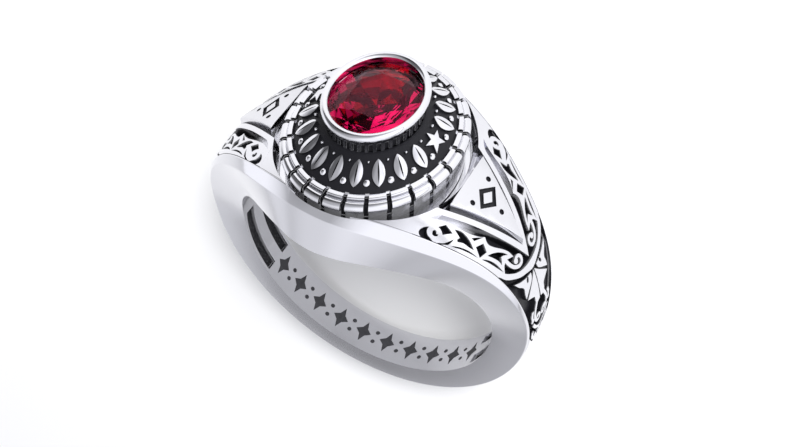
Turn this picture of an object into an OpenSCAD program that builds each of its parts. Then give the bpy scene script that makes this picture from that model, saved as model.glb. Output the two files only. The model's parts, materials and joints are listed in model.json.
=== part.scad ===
/* [Finger hole and band] */
// Diameter of the finger hole
finger_d = 17.3; // [15.5:0.1:19]
// Width of the band at the bottom, along the finger
band_w = 2.7; // [2.2:0.1:3.6]
// Thickness of the band at the bottom
band_t = 1.7; // [1.4:0.1:2.2]
// Width across the flared lower edges of the crown, along the finger
crown_w = 13.8; // [13.6:0.1:15]
// How far each side leans in between the finger hole and its outer edge, at the crown
crown_lean = 0.65; // [0.4:0.05:0.8]
// Thickness of the shoulders in their middle
shoulder_t = 3.2; // [2.9:0.05:3.6]
// How far the outer edges of the shoulders lie below their middle
edge_drop = 1.15; // [0.9:0.05:1.3]
// Width of the polished bevel along the shoulder edges
bevel_w = 0.55; // [0.35:0.05:0.7]

/* [Shoulder relief] */
// Depth of the dark ground between the shoulder ornaments, at the middle of the shoulder
ground_depth = 0.75; // [0.65:0.05:0.9]
// Depth of the dark ground round the lower leaf ornament
leaf_depth = 0.35; // [0.25:0.05:0.45]
// Width of the plain frame between the bevel and the dark ground
frame_w = 0.32; // [0.25:0.01:0.45]
// Width of the bars beside the plaques
bar_w = 0.38; // [0.3:0.01:0.45]
// Width of the drawn lines of the scrolls and lozenges
line_w = 0.2; // [0.16:0.01:0.26]

/* [Plaques] */
// Width of a plaque at its base, along the finger
plaque_w = 3.9; // [3:0.1:4.2]
// Length of a plaque from its base to its tip, seen from above
plaque_l = 3.6; // [3:0.1:3.8]
// How far a plaque stands out beyond the middle of the shoulder
plaque_rise = 0.2; // [0.1:0.05:0.4]
// Depth of the engraved lines on a plaque
engrave_d = 0.15; // [0.1:0.01:0.25]

/* [Ring top] */
// Length of the oval ring top, along the finger
top_l = 11.7; // [11.4:0.1:11.9]
// Width of every oval of the ring top as a share of its length
top_oval = 0.845; // [0.8:0.005:0.9]
// Height of the outer wall of the ring top, from its seat to its border
wall_h = 2.15; // [1.9:0.05:2.5]
// Width of the notched border
border_w = 0.8; // [0.6:0.05:1]
// Height of the notched border above the outer wall
border_h = 0.45; // [0.3:0.05:0.6]
// Notches round the border
notches = 26; // [18:1:32]
// Width of a notch
notch_w = 0.22; // [0.15:0.01:0.3]
// Height of the sloping frieze, from the border to the bezel
frieze_h = 1.2; // [0.9:0.05:1.5]
// Raised leaves on each half of the frieze
leaves = 9; // [6:1:10]
// Length of a leaf, up the slope
leaf_l = 1.5; // [1.2:0.05:1.6]
// How far the leaves and stars stand out of the frieze
leaf_rise = 0.22; // [0.15:0.01:0.3]

/* [Bezel and stone] */
// Length of the oval stone, along the finger
stone_l = 6; // [5.6:0.1:6.2]
// Width of the stone and of the bezel as a share of their length
stone_oval = 0.8; // [0.76:0.01:0.86]
// Thickness of the rolled rim of the bezel
rim_t = 0.5; // [0.4:0.05:0.6]
// Height of the bezel above the frieze
bezel_h = 1.4; // [1.2:0.05:1.7]
// Grooves round the foot of the bezel
flutes = 40; // [24:1:48]
// Depth of the stone below its girdle
pavilion_h = 1.45; // [1:0.05:1.6]
// Height of the stone above its girdle
crown_h = 0.45; // [0.3:0.05:0.55]

/* [Fits] */
// Width of the dark gap between the ring top and the shoulders
moat = 0.55; // [0.4:0.05:0.6]
// Gap between pieces where one is seated in another
seat_gap = 0.05; // [0.03:0.01:0.08]

/* [Hidden] */
silver = "silver";

bore_r = finger_d / 2;

// Heights above the axis of the finger hole: the seat of the ring top, its wall, border and
// frieze, then the bezel, its rim and the girdle of the stone
seat_floor = 0.65;
frieze_sunk = 0.15;
girdle_sunk = 0.62;
seat_z = bore_r + seat_floor;
top_z = seat_z + seat_gap;
wall_z = top_z + wall_h;
border_z = wall_z + border_h;
frieze_z = border_z - frieze_sunk;
bezel_z = frieze_z + frieze_h;
rim_z = bezel_z + bezel_h;
girdle_z = rim_z - girdle_sunk;
// Enough height to cut through all that stands above the finger hole
tall = rim_z - bore_r;

// Half lengths of the ovals, along the finger
rim_out = 0.42;
foot_out = 0.15;
top_half = top_l / 2;
border_in = top_half - border_w;
foot_r = stone_l / 2 + foot_out;
shaft_r = stone_l / 2 - seat_gap;

// The band round the finger, by the angle from the crown: how far it has flared from the
// band's width to the crown's, how thick it is between the band and the shoulder, and how
// much of the shoulder's edge drop it has
STATIONS = [
    [0, 1, 1, 1],
    [5, 1, 1, 1],
    [10, 0.955, 1, 1],
    [20, 0.825, 1, 0.97],
    [30, 0.67, 1, 0.9],
    [40, 0.5, 1, 0.78],
    [50, 0.345, 0.94, 0.55],
    [60, 0.225, 0.8, 0.3],
    [70, 0.13, 0.63, 0.16],
    [80, 0.05, 0.49, 0.12],
    [90, 0.01, 0.36, 0.1],
    [110, 0, 0.16, 0.1],
    [135, 0, 0.03, 0.1],
    [160, 0, 0, 0.1],
    [180, 0, 0, 0.1]];
FLARE = 1;
THICK = 2;
DROP = 3;

function span(a, i = 0) = i >= len(STATIONS) - 2 || a <= STATIONS[i + 1][0] ? i : span(a, i + 1);
function slope(i, c) = i == 0 || i == len(STATIONS) - 1 ? 0
    : (STATIONS[i + 1][c] - STATIONS[i - 1][c]) / (STATIONS[i + 1][0] - STATIONS[i - 1][0]);
// A smooth curve through one column of the table, at an angle from the crown
function share(a, c) =
    let (i = span(a), h = STATIONS[i + 1][0] - STATIONS[i][0], u = (a - STATIONS[i][0]) / h)
    (1 - 3 * u * u + 2 * u * u * u) * STATIONS[i][c]
    + (u - 2 * u * u + u * u * u) * h * slope(i, c)
    + (3 * u * u - 2 * u * u * u) * STATIONS[i + 1][c]
    + (u * u * u - u * u) * h * slope(i + 1, c);

// Half widths and radii of the band at an angle from the crown. Some bevel is left at the
// bottom of the band, and its upper edge takes part of the drop.
least_bevel = 0.15;
bevel_drop = 0.45;
function bore_half(a) = (band_w + (crown_w - band_w) * share(a, FLARE)) / 2;
function edge_half(a) = bore_half(a) - crown_lean * share(a, FLARE);
function bevel_across(a) = bevel_w * (least_bevel + (1 - least_bevel) * share(a, DROP));
function bevel_half(a) = edge_half(a) - bevel_across(a);
function mid_r(a) = bore_r + band_t + (shoulder_t - band_t) * share(a, THICK);
function edge_r(a) = mid_r(a) - edge_drop * share(a, DROP);
function bevel_r(a) = mid_r(a) - bevel_drop * edge_drop * share(a, DROP);
// Radius of the outer surface between the bevels
function outer_r(a, y) = mid_r(a) - (mid_r(a) - bevel_r(a)) * pow(y / bevel_half(a), 2);

// A point at an angle from the crown, y along the finger and r from the axis
function at(a, y, r) = [r * sin(a), y, r * cos(a)];

// One cross-section of the band, from its near side over the outside to its far side. It
// starts a little inside the finger hole, which is cut afterwards.
inner_slack = 0.5;
OUTSIDE = [2 / 3, 1 / 3];
function half_section(a) =
    let (w = bore_half(a), e = edge_half(a), b = bevel_half(a))
    concat([[w + (w - e) * inner_slack / (edge_r(a) - bore_r), bore_r - inner_slack],
            [e, edge_r(a)],
            [b, bevel_r(a)]],
           [for (k = OUTSIDE) [k * b, outer_r(a, k * b)]]);
function section(a) =
    let (h = half_section(a), n = len(h))
    concat([for (p = h) [-p[0], p[1]]], [[0, mid_r(a)]], [for (i = [n - 1:-1:0]) h[i]]);

// Joins rings of points into one closed skin; each ring has as many points as the next
module skin(rings, closed) {
    n = len(rings[0]);
    m = len(rings);
    points = [for (ring = rings, p = ring) p];
    last = closed ? m - 1 : m - 2;
    sides = [for (i = [0:last], j = [0:n - 1])
        let (a = i * n + j, b = i * n + (j + 1) % n, k = (i + 1) % m)
        each [[a, b, k * n + (j + 1) % n], [a, k * n + (j + 1) % n, k * n + j]]];
    caps = closed ? [] : [[for (j = [n - 1:-1:0]) j], [for (j = [0:n - 1]) (m - 1) * n + j]];
    polyhedron(points = points, faces = concat(sides, caps));
}

skin_step = 5;
module band_skin() {
    skin([for (a = [0:skin_step:360 - skin_step])
        [for (p = section(min(a, 360 - a))) at(a, p[0], p[1])]], true);
}

// The upper relief ends in a round tip, and the leaf relief begins below it. These are
// angles from the crown.
panel_start = 25;
panel_mid = 42;
panel_round = 49;
panel_end = 57.5;
leaf_start = 60.5;
leaf_mid = 76;
leaf_end = 92;
// Nothing of the shoulders reaches this radius
clear_r = mid_r(0) + shoulder_t / 3;

// The frame beside the relief narrows towards the crown
frame_start = 24;
frame_widens = 18;
function frame_across(a) = frame_w * min(1.1, max(0.25, (a - frame_start) / frame_widens));
function panel_half(a) = (bevel_half(a) - frame_across(a))
    * (a <= panel_round ? 1 : sqrt(max(0.01, 1 - pow((a - panel_round) / (panel_end - panel_round), 2))));
// The leaf relief opens over a few degrees and closes over more
leaf_opens = 3;
leaf_closes = 12;
function leaf_half(a) = (bevel_half(a) - frame_w / 2)
    * sqrt(max(0.04, min(1, (leaf_end - a) / leaf_closes, (a - leaf_start) / leaf_opens + 0.3)));
function ground_ring(a, half, depth) =
    [at(a, -half, mid_r(a) - depth), at(a, -half, clear_r), at(a, half, clear_r), at(a, half, mid_r(a) - depth)];

// The room over the dark ground of one shoulder, before its ornaments are left standing
module panel_room() {
    steps = 10;
    skin([for (i = [0:steps])
        let (a = panel_start + i * (panel_end - panel_start) / steps)
        ground_ring(a, panel_half(a), ground_depth)], false);
}
module leaf_room() {
    steps = 9;
    skin([for (i = [0:steps])
        let (a = leaf_start + i * (leaf_end - leaf_start) / steps)
        ground_ring(a, leaf_half(a), leaf_depth)], false);
}

// Stands a flat drawing on the outside of the band: x runs down the shoulder from the
// angle a, y along the finger, and one unit of x is one millimetre there
module standing(a) {
    rotate([0, a, 0]) translate([0, 0, bore_r]) linear_extrude(height = shoulder_t + clear_r - mid_r(0)) children();
}
function along(a, mid) = mid_r(mid) * sin(a - mid);

// The drawing of one arm of the upper relief, as points [angle from the crown, y] of each
// line, with y for the crown width that is usual here
usual_w = 13.8;
LINES = [
    [[23.5, 3.4], [28, 3.15], [32.5, 2.75], [36.3, 2.52], [40, 2.74]],
    [[28, 4.55], [31, 4.12], [33.9, 3.7], [36.5, 3.38], [39.3, 3.12], [42.6, 2.9]],
    [[34.4, 2.85], [32.4, 3.25], [30.8, 3.75], [29, 4.1], [27.2, 3.95], [26.9, 3.55], [28.4, 3.3], [29.8, 3.5]],
    [[43.2, 2.15], [45.8, 1.68], [49.2, 1.2], [51.6, 0.95]],
    [[42.4, 2.85], [45.5, 2.42], [48.6, 2.2], [51.6, 2.2]],
    [[50, 1.7], [52.6, 1.62], [54.5, 1.33], [55.2, 0.8], [54, 0.42], [52.4, 0.5], [52.2, 0.85]]];
LOZENGE = [[40.5, 1.6], [43.9, 2], [42.6, 3], [39.4, 2.6]];
THORNS = [[33.2, 3], [49.6, 1.65]];
thorn_l = 1.15;
thorn_w = 1;
// The lines that end in a curl with a bead
CURLED = [2, 5];
function drawn(p) = [along(p[0], panel_mid), p[1] * crown_w / usual_w];

// A line of even width through points, with square ends
function side_step(p, i) = let (d = p[min(i + 1, len(p) - 1)] - p[max(i - 1, 0)]) [-d[1], d[0]] / norm(d);
module line(p, w) {
    n = len(p);
    polygon(concat([for (i = [0:n - 1]) p[i] + side_step(p, i) * w / 2],
                   [for (i = [n - 1:-1:0]) p[i] - side_step(p, i) * w / 2]));
}
module bead() {
    circle(r = 0.75 * line_w, $fn = 16);
}
// A curl of three quarters of a turn with a bead in its open end
module scroll(r, turn) {
    rotate(turn) {
        line([for (t = [0:27:270]) r * [cos(t), sin(t)]], line_w);
        rotate(270) translate([r, 0]) bead();
    }
}
// A star of four points with hollow sides
module thorn(l, w) {
    polygon([[l / 2, 0], [0.12 * l, 0.14 * w], [0, w / 2], [-0.12 * l, 0.14 * w],
             [-l / 2, 0], [-0.12 * l, -0.14 * w], [0, -w / 2], [0.12 * l, -0.14 * w]]);
}
// A lozenge drawn as a line of even width
module lozenge(l, w) {
    in = 1.5 * line_w;
    difference() {
        polygon([[l / 2, 0], [0, w / 2], [-l / 2, 0], [0, -w / 2]]);
        polygon([[l / 2 - in, 0], [0, w / 2 - in], [-l / 2 + in, 0], [0, -w / 2 + in]]);
    }
}
// A pointed leaf along x, between two arcs
module leaf(l, w) {
    r = (l * l / 4 + w * w / 4) / w;
    intersection() {
        translate([0, r - w / 2]) circle(r = r, $fn = 96);
        translate([0, w / 2 - r]) circle(r = r, $fn = 96);
    }
}

// The chain of scroll, thorn, lozenge, thorn and scroll in one arm of the upper relief
module chain() {
    for (p = LINES) line([for (q = p) drawn(q)], line_w);
    for (i = CURLED) translate(drawn(LINES[i][len(LINES[i]) - 1])) bead();
    for (q = THORNS) translate(drawn(q)) rotate(-30) thorn(thorn_l, thorn_w);
    difference() {
        polygon([for (q = LOZENGE) drawn(q)]);
        translate(drawn((LOZENGE[0] + LOZENGE[2]) / 2)) rotate(25) square(2.1 * line_w, center = true);
    }
}
bar_start = [along(22, panel_mid), 3.02 * crown_w / usual_w];
bar_tip = [along(54, panel_mid), 0];
module panel_ornament() {
    for (side = [1, -1]) {
        scale([1, side]) {
            chain();
            line([bar_start, bar_tip], bar_w);
        }
    }
    translate(bar_tip) circle(r = 0.62 * bar_w, $fn = 16);
}
// The leaves, scrolls and lozenge below them, as shares of the room's length
module leaf_ornament() {
    top = along(leaf_start - 1, leaf_mid);
    low = along(leaf_end, leaf_mid);
    l = low - top;
    translate([top + 0.24 * l, 0]) leaf(0.48 * l, 0.6);
    for (side = [1, -1]) {
        scale([1, side]) {
            translate([top + 0.19 * l, 0.75]) rotate(32) leaf(0.4 * l, 0.62);
            translate([top + 0.5 * l, 0.78]) scroll(0.34, 160);
            line([[top + 0.36 * l, 0.12], [top + 0.46 * l, 0.42], [top + 0.6 * l, 0.4], [top + 0.74 * l, 0.3]], line_w);
            translate([top + 0.78 * l, 0.55]) scroll(0.24, 120);
        }
    }
    translate([top + 0.7 * l, 0]) lozenge(0.2 * l, 0.7);
    translate([top + 0.9 * l, 0]) leaf(0.2 * l, 0.36);
}

// The hollow that the ring top stands in, from its seat up: wide beside the shoulders, and
// open at the two sides, where the top is as wide as the crown
side_play = 0.08;
module seat_hollow() {
    corners = 72;
    translate([0, 0, seat_z])
        linear_extrude(height = tall)
            polygon([for (i = [0:corners - 1])
                let (t = i * 360 / corners)
                [(top_half * top_oval + moat) * cos(t), (top_half + side_play) * sin(t)]]);
}

module shoulder_ground() {
    difference() {
        panel_room();
        standing(panel_mid) panel_ornament();
    }
    difference() {
        leaf_room();
        standing(leaf_mid) leaf_ornament();
    }
    plaque_slot();
}

// Where a plaque stands: from the edge of the seat, over the dark ground
plaque_x = top_half * top_oval + moat + seat_gap;
plaque_r = mid_r(0) - ground_depth + seat_gap;
module plaque_plan(grow) {
    polygon([[plaque_x - grow, -plaque_w / 2 - grow], [plaque_x + plaque_l + 2 * grow, 0],
             [plaque_x - grow, plaque_w / 2 + grow]]);
}
// The slot that it stands in, wider over the first part of its length
wide_slot = 0.8;
module plaque_slot() {
    difference() {
        translate([0, 0, bore_r / 2])
            linear_extrude(height = 2 * tall)
                intersection() {
                    plaque_plan(3 * seat_gap);
                    square([2 * (plaque_x + wide_slot), 2 * plaque_w], center = true);
                }
        round_bar(plaque_r - seat_gap, 2 * crown_w);
    }
    difference() {
        translate([0, 0, bore_r / 2]) linear_extrude(height = 2 * tall) plaque_plan(seat_gap);
        round_bar(plaque_r - seat_gap / 2, 2 * crown_w);
    }
}
// A round bar on the axis of the finger hole
module round_bar(r, l) {
    rotate([90, 0, 0]) cylinder(r = r, h = l, center = true, $fn = 144);
}

// Two shallow dark strips on each side of the finger hole, with a rib between them
strip_end = 121;
strip_arc = 35;
strip_depth = 0.25;
strip_w = 0.7;
rib_w = 0.9;
module inner_strips() {
    for (side = [0, 1], edge = [rib_w / 2, -rib_w / 2 - strip_w])
        rotate([90, 0, 0]) rotate([0, 0, 90 - strip_end + side * (2 * strip_end - strip_arc)])
            rotate_extrude(angle = strip_arc, $fn = 144)
                translate([bore_r - inner_slack, edge]) square([inner_slack + strip_depth, strip_w]);
}

module band() {
    color(silver)
        lay_down()
            difference() {
                band_skin();
                round_bar(bore_r, 2 * crown_w);
                seat_hollow();
                inner_strips();
                for (side = [0, 1]) mirror([side, 0, 0]) shoulder_ground();
            }
}

module plaque() {
    difference() {
        intersection() {
            translate([0, 0, bore_r / 2]) linear_extrude(height = 2 * tall) plaque_plan(0);
            round_bar(mid_r(0) + plaque_rise, crown_w);
        }
        round_bar(plaque_r, 2 * crown_w);
        plaque_engraving();
    }
}
// A lozenge with three dots round it
lozenge_l = 1.1;
lozenge_w = 1.5;
dot_r = 0.16;
module plaque_engraving() {
    a = asin((plaque_x + 0.36 * plaque_l) / mid_r(0));
    rotate([0, a, 0])
        translate([0, 0, mid_r(0) + plaque_rise - engrave_d])
            linear_extrude(height = tall) {
                lozenge(lozenge_l, lozenge_w);
                for (side = [1, -1])
                    translate([-lozenge_l / 2, side * 0.63 * lozenge_w]) circle(r = dot_r, $fn = 24);
                translate([lozenge_l, 0]) circle(r = dot_r, $fn = 24);
            }
}
module right_plaque() {
    color(silver) lay_down() plaque();
}
module left_plaque() {
    color(silver) lay_down() mirror([1, 0, 0]) plaque();
}

// The ring top is made round and then drawn in across the finger to its oval
leaf_w = 0.62;
star_r = 0.7;
// The leaves stand on this much of each half turn, between the stars
leaf_arc = 160;
// Depth of a notch below the top of the wall
notch_below = 0.35;
module ring_top() {
    color(silver)
        lay_down()
            scale([top_oval, 1, 1]) {
                difference() {
                    union() {
                        rotate_extrude($fn = 96) top_profile();
                        for (i = [0:leaves - 1], side = [0, 180])
                            frieze_place(side + 90 + (i - (leaves - 1) / 2) * leaf_arc / leaves)
                                linear_extrude(height = 2 * leaf_rise, center = true) leaf(leaf_l, leaf_w);
                        for (side = [0, 180])
                            frieze_place(side)
                                linear_extrude(height = 2 * leaf_rise, center = true) star(star_r);
                    }
                    for (i = [0:notches - 1])
                        rotate([0, 0, (i + 0.5) * 360 / notches])
                            translate([border_in - border_w / 8, -notch_w / 2, wall_z - notch_below])
                                cube([1.5 * border_w, notch_w, tall]);
                    cylinder(r = shaft_r + seat_gap, h = 2 * rim_z, $fn = 96);
                }
            }
}
// Half of its outline: the wall with a round border on it, a step, and the frieze, which
// bulges a little
module top_profile() {
    step_r = border_in + 0.4 * border_w;
    lobe = 0.3;
    frieze_line = [[border_in, frieze_z], [frieze_mid, frieze_z + 0.58 * frieze_h], [foot_r, bezel_z]];
    difference() {
        union() {
            translate([0, top_z]) square([top_half - lobe, wall_h + 0.8 * lobe]);
            translate([0, top_z]) square([top_half, wall_h]);
            translate([top_half - lobe, wall_z]) circle(r = lobe, $fn = 48);
            translate([0, wall_z]) square([step_r, border_h]);
        }
        polygon(concat(frieze_line, [[0, bezel_z], [0, bezel_z + tall], [border_in, bezel_z + tall]]));
    }
    polygon(concat(frieze_line, [[0, bezel_z], [0, wall_z], [border_in + seat_gap, wall_z]]));
}
frieze_mid = (foot_r + border_in) / 2;
// Lays a drawing on the slope of the frieze at an angle round the top, with x up the slope
module frieze_place(t) {
    run = border_in - foot_r;
    rotate([0, 0, t])
        translate([frieze_mid, 0, frieze_z + 0.54 * frieze_h])
            rotate([0, atan2(frieze_h, run), 0]) rotate([0, 0, 180]) children();
}
// A star of five points
module star(r) {
    waist = 0.42;
    polygon([for (i = [0:9]) let (q = i % 2 == 0 ? r : waist * r) [q * cos(36 * i), q * sin(36 * i)]]);
}

// The bezel holds the stone between an inner ledge and its rolled rim. Its fluted foot
// stands on the frieze, and its shaft in the ring top.
flute_w = 0.14;
flute_h = 0.4;
module bezel() {
    color(silver)
        lay_down()
            scale([stone_oval, 1, 1])
                difference() {
                    rotate_extrude($fn = 96) bezel_profile();
                    for (i = [0:flutes - 1])
                        rotate([0, 0, i * 360 / flutes])
                            translate([foot_r - flute_w, -flute_w / 2, bezel_z - flute_h])
                                cube([rim_out + flute_w, flute_w, 2 * flute_h]);
                }
}
module bezel_profile() {
    in_r = stone_l / 2 + seat_gap;
    out_r = stone_l / 2 + rim_out;
    // The shaft is oval by the stone's share, and clears the ring top's hole across it too
    shaft_x = min(shaft_r, shaft_r * top_oval / stone_oval) - seat_gap;
    shaft_t = 0.45;
    shaft_l = bezel_z - top_z - 1;
    girdle_t = 0.16;
    difference() {
        union() {
            polygon([[0, bezel_z + seat_gap], [foot_r, bezel_z + seat_gap], [foot_r, bezel_z + flute_h],
                     [out_r, rim_z - rim_t / 2], [out_r - rim_t, rim_z - rim_t / 2], [0, rim_z - rim_t]]);
            translate([out_r - rim_t / 2, rim_z - rim_t / 2]) circle(r = rim_t / 2, $fn = 48);
            translate([0, bezel_z - shaft_l]) square([shaft_x, shaft_l + rim_t]);
        }
        square([shaft_x - shaft_t, 2 * rim_z]);
        translate([0, girdle_z - girdle_t / 2]) square([in_r, girdle_t + seat_gap]);
        polygon([[0, girdle_z - pavilion_h - 2 * seat_gap], [in_r, girdle_z - girdle_t / 2], [0, girdle_z]]);
        polygon([[0, girdle_z], [in_r, girdle_z + girdle_t / 2 + seat_gap],
                 [in_r - lip, rim_z + seat_gap], [0, rim_z + seat_gap]]);
    }
}
// How far the rim leans in over the stone
lip = 0.12;

// A brilliant-cut oval: table, eight crown facets with stars, a thin girdle and a pavilion
module stone() {
    color("crimson")
        lay_down()
            translate([0, 0, girdle_z]) scale([stone_oval, 1, 1]) brilliant(stone_l / 2);
}
// Rings of corners from the table down to the point, as shares of the half length
module brilliant(g) {
    corners = concat(
        corner_ring(8, 0.58 * g, crown_h, 22.5),
        corner_ring(8, 0.8 * g, 0.62 * crown_h, 0),
        corner_ring(16, g - seat_gap, 0.11 * crown_h, 0),
        corner_ring(16, g - seat_gap, -0.02 * pavilion_h, 0),
        corner_ring(8, 0.45 * g, -0.62 * pavilion_h, 0),
        [[0, 0, 2 * seat_gap - pavilion_h]]);
    hull()
        polyhedron(points = corners, faces = [[for (i = [0:len(corners) - 1]) i]]);
}
function corner_ring(n, r, z, turn) =
    [for (i = [0:n - 1]) [r * cos(i * 360 / n + turn), r * sin(i * 360 / n + turn), z]];

// The ring rests on its far side: on the flared lower edge of the crown and on the bottom
// edge of the band. That turns it by the slope between the two.
rest_run = bore_r + edge_r(180);
rest_rise = (crown_w - band_w) / 2;
rest_tilt = atan2(rest_rise, rest_run);
rest_height = crown_w / 2 * cos(rest_tilt) - bore_r * sin(rest_tilt);
// How far it then reaches from the axis of the finger hole, to the front over the bezel
// and to the back over the bottom of the band
front_reach = (stone_l / 2 + rim_out - rim_t / 2) * sin(rest_tilt) + (rim_z - rim_t / 2) * cos(rest_tilt) + rim_t / 2;
back_reach = bevel_half(180) * sin(rest_tilt) + bevel_r(180) * cos(rest_tilt);
module lay_down() {
    translate([0, (front_reach - back_reach) / 2, rest_height])
        rotate([90 - rest_tilt, 0, 0]) rotate([0, 0, 180]) children();
}

band();
left_plaque();
right_plaque();
ring_top();
bezel();
stone();
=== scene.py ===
"""A class ring lying on its far side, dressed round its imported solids."""

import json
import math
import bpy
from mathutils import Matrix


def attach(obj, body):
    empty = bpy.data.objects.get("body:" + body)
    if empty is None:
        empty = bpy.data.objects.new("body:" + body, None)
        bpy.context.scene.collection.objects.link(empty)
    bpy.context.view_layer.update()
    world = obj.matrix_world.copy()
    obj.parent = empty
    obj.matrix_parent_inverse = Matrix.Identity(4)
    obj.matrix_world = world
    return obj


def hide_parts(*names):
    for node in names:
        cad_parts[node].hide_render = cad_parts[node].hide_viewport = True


bl_info = {
    "name": "Class ring",
    "version": (1, 0, 0),
    "blender": (4, 5, 0),
    "location": "View3D > Sidebar > Class ring",
    "description": "Builds a silver class ring with an oval red stone, and a pale studio round it",
    "category": "Object",
}

import bmesh
import bpy
import numpy as np
from bpy.props import FloatProperty, FloatVectorProperty, IntProperty, PointerProperty
from mathutils import Matrix, Vector
from mathutils.geometry import delaunay_2d_cdt

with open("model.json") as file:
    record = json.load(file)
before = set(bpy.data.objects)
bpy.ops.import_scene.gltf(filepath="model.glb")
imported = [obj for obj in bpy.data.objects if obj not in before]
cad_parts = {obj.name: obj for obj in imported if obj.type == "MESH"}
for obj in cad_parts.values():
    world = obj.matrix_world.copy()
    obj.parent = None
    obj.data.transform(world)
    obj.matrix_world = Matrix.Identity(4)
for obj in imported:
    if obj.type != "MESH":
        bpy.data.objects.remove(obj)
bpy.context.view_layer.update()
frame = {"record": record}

MM = 0.001
HOLE = frame["record"]["mounts"][0]
BORE_R = HOLE["dims"]["r_mm"] * MM

# The ring's own frame: x across the shoulders, y along the finger, z towards the stone
ALONG = -Vector(HOLE["axis"])
ACROSS = Vector((-1, 0, 0))
UP = ACROSS.cross(ALONG)
RING = Matrix.Translation(HOLE["pos_m"]) @ Matrix((ACROSS, ALONG, UP)).transposed().to_4x4()

SEAT_GAP = 0.05 * MM  # Round every piece that sits in another
LIFT = 0.004 * MM  # Keeps a thin plate clear of the casting under it
MOAT_END_GAP = 0.08 * MM  # Between the top and the hollow that it stands in, along the finger

# Shares by the angle from the crown: flare, thickness, edge drop
STATIONS = np.array([
    (0, 1, 1, 1),
    (5, 1, 1, 1),
    (10, 0.955, 1, 1),
    (20, 0.825, 1, 0.97),
    (30, 0.67, 1, 0.9),
    (40, 0.5, 1, 0.78),
    (50, 0.345, 0.94, 0.55),
    (60, 0.225, 0.8, 0.3),
    (70, 0.13, 0.63, 0.16),
    (80, 0.05, 0.49, 0.12),
    (90, 0.01, 0.36, 0.1),
    (110, 0, 0.16, 0.1),
    (135, 0, 0.03, 0.1),
    (160, 0, 0, 0.1),
    (180, 0, 0, 0.1),
])
FLARE, THICK, DROP = 1, 2, 3


def length(name, description, mm):
    """A size in metres, from its usual value in millimetres."""
    return FloatProperty(name=name, description=description, default=mm * MM, min=0, max=30 * MM,
                         unit="LENGTH", precision=5)


def share(name, description, value):
    """A number from 0 to 1."""
    return FloatProperty(name=name, description=description, default=value, min=0, max=1, subtype="FACTOR")


def count(name, description, value, low):
    """A whole number, low or more."""
    return IntProperty(name=name, description=description, default=value, min=low, subtype="UNSIGNED")


def colour(name, description, rgb):
    """A linear colour."""
    return FloatVectorProperty(name=name, description=description, default=rgb, min=0, max=1,
                               size=3, subtype="COLOR")


class BandSizes(bpy.types.PropertyGroup):
    """Sizes of the band and its shoulders"""

    band_w: length("Band width", "Width of the band at the bottom, along the finger", 2.7)
    band_t: length("Band thickness", "Thickness of the band at the bottom", 1.7)
    crown_w: length("Crown width", "Width across the flared lower edges of the crown", 13.8)
    crown_lean: length("Crown lean", "How far each side leans in at the crown", 0.65)
    shoulder_t: length("Shoulder thickness", "Thickness of the shoulders in their middle", 3.2)
    edge_drop: length("Edge drop", "How far the edges of the shoulders lie below their middle", 1.15)
    bevel_w: length("Bevel width", "Width of the polished bevel along the shoulders", 0.55)
    rounding: length("Edge rounding", "Radius of the polished edges", 0.07)
    seat_z: length("Seat height", "Height of the seat of the top over the hole's axis", 9.3)
    moat: length("Moat", "Width of the gap between the top and the shoulders", 0.55)
    strip_depth: length("Strip depth", "Depth of the dark strips inside the hole", 0.25)


class ReliefSizes(bpy.types.PropertyGroup):
    """Sizes of the shoulders' relief"""

    ground: length("Ground depth", "Depth of the dark ground between the ornaments", 0.75)
    leaf_ground: length("Leaf ground depth", "Depth of the ground round the lower leaves", 0.35)
    line_w: length("Line width", "Width of the drawn lines of the ornaments", 0.23)


class PlaqueSizes(bpy.types.PropertyGroup):
    """Sizes of the triangular plaques"""

    width: length("Width", "Width of a plaque at its base", 3.9)
    reach: length("Length", "Length of a plaque from its base to its tip", 3.6)
    rise: length("Rise", "How far a plaque stands out beyond the shoulder", 0.2)
    chamfer: length("Chamfer", "Width and depth of the bevel round a plaque", 0.05)
    engraving: length("Engraving depth", "Depth of the lines cut into a plaque", 0.12)
    lozenge_l: length("Lozenge half length", "Half the cut lozenge's length", 0.5)
    lozenge_w: length("Lozenge half width", "Half the cut lozenge's width", 0.7)
    line_half: length("Line half width", "Half the width of the lozenge's line", 0.17)
    dot_r: length("Dot radius", "Radius of a cut dot", 0.16)


class TopSizes(bpy.types.PropertyGroup):
    """Sizes of the oval top and its frieze"""

    length: length("Length", "Length of the oval top, along the finger", 11.7)
    oval: share("Oval", "Width of the top as a share of its length", 0.845)
    wall_h: length("Wall height", "Height of the outer wall", 2.15)
    wall_in: length("Wall recess", "How far the wall lies inside the border", 0.2)
    border_w: length("Border width", "Width of the notched border", 0.8)
    border_h: length("Border height", "Height of the border above the wall", 0.45)
    lobe: length("Border rounding", "Radius of the border's outer edge", 0.3)
    notches: count("Notches", "Notches round the border", 26, 12)
    notch_w: length("Notch width", "Width of a notch", 0.3)
    frieze_h: length("Frieze height", "Height of the sloping frieze", 1.2)
    leaves: count("Leaves", "Leaves on each half of the frieze", 9, 3)
    leaf_l: length("Leaf length", "Length of a leaf, up the slope", 1.5)
    leaf_w: length("Leaf width", "Width of a leaf", 0.74)
    leaf_rise: length("Leaf rise", "How far the leaves stand out of the frieze", 0.22)


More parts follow.
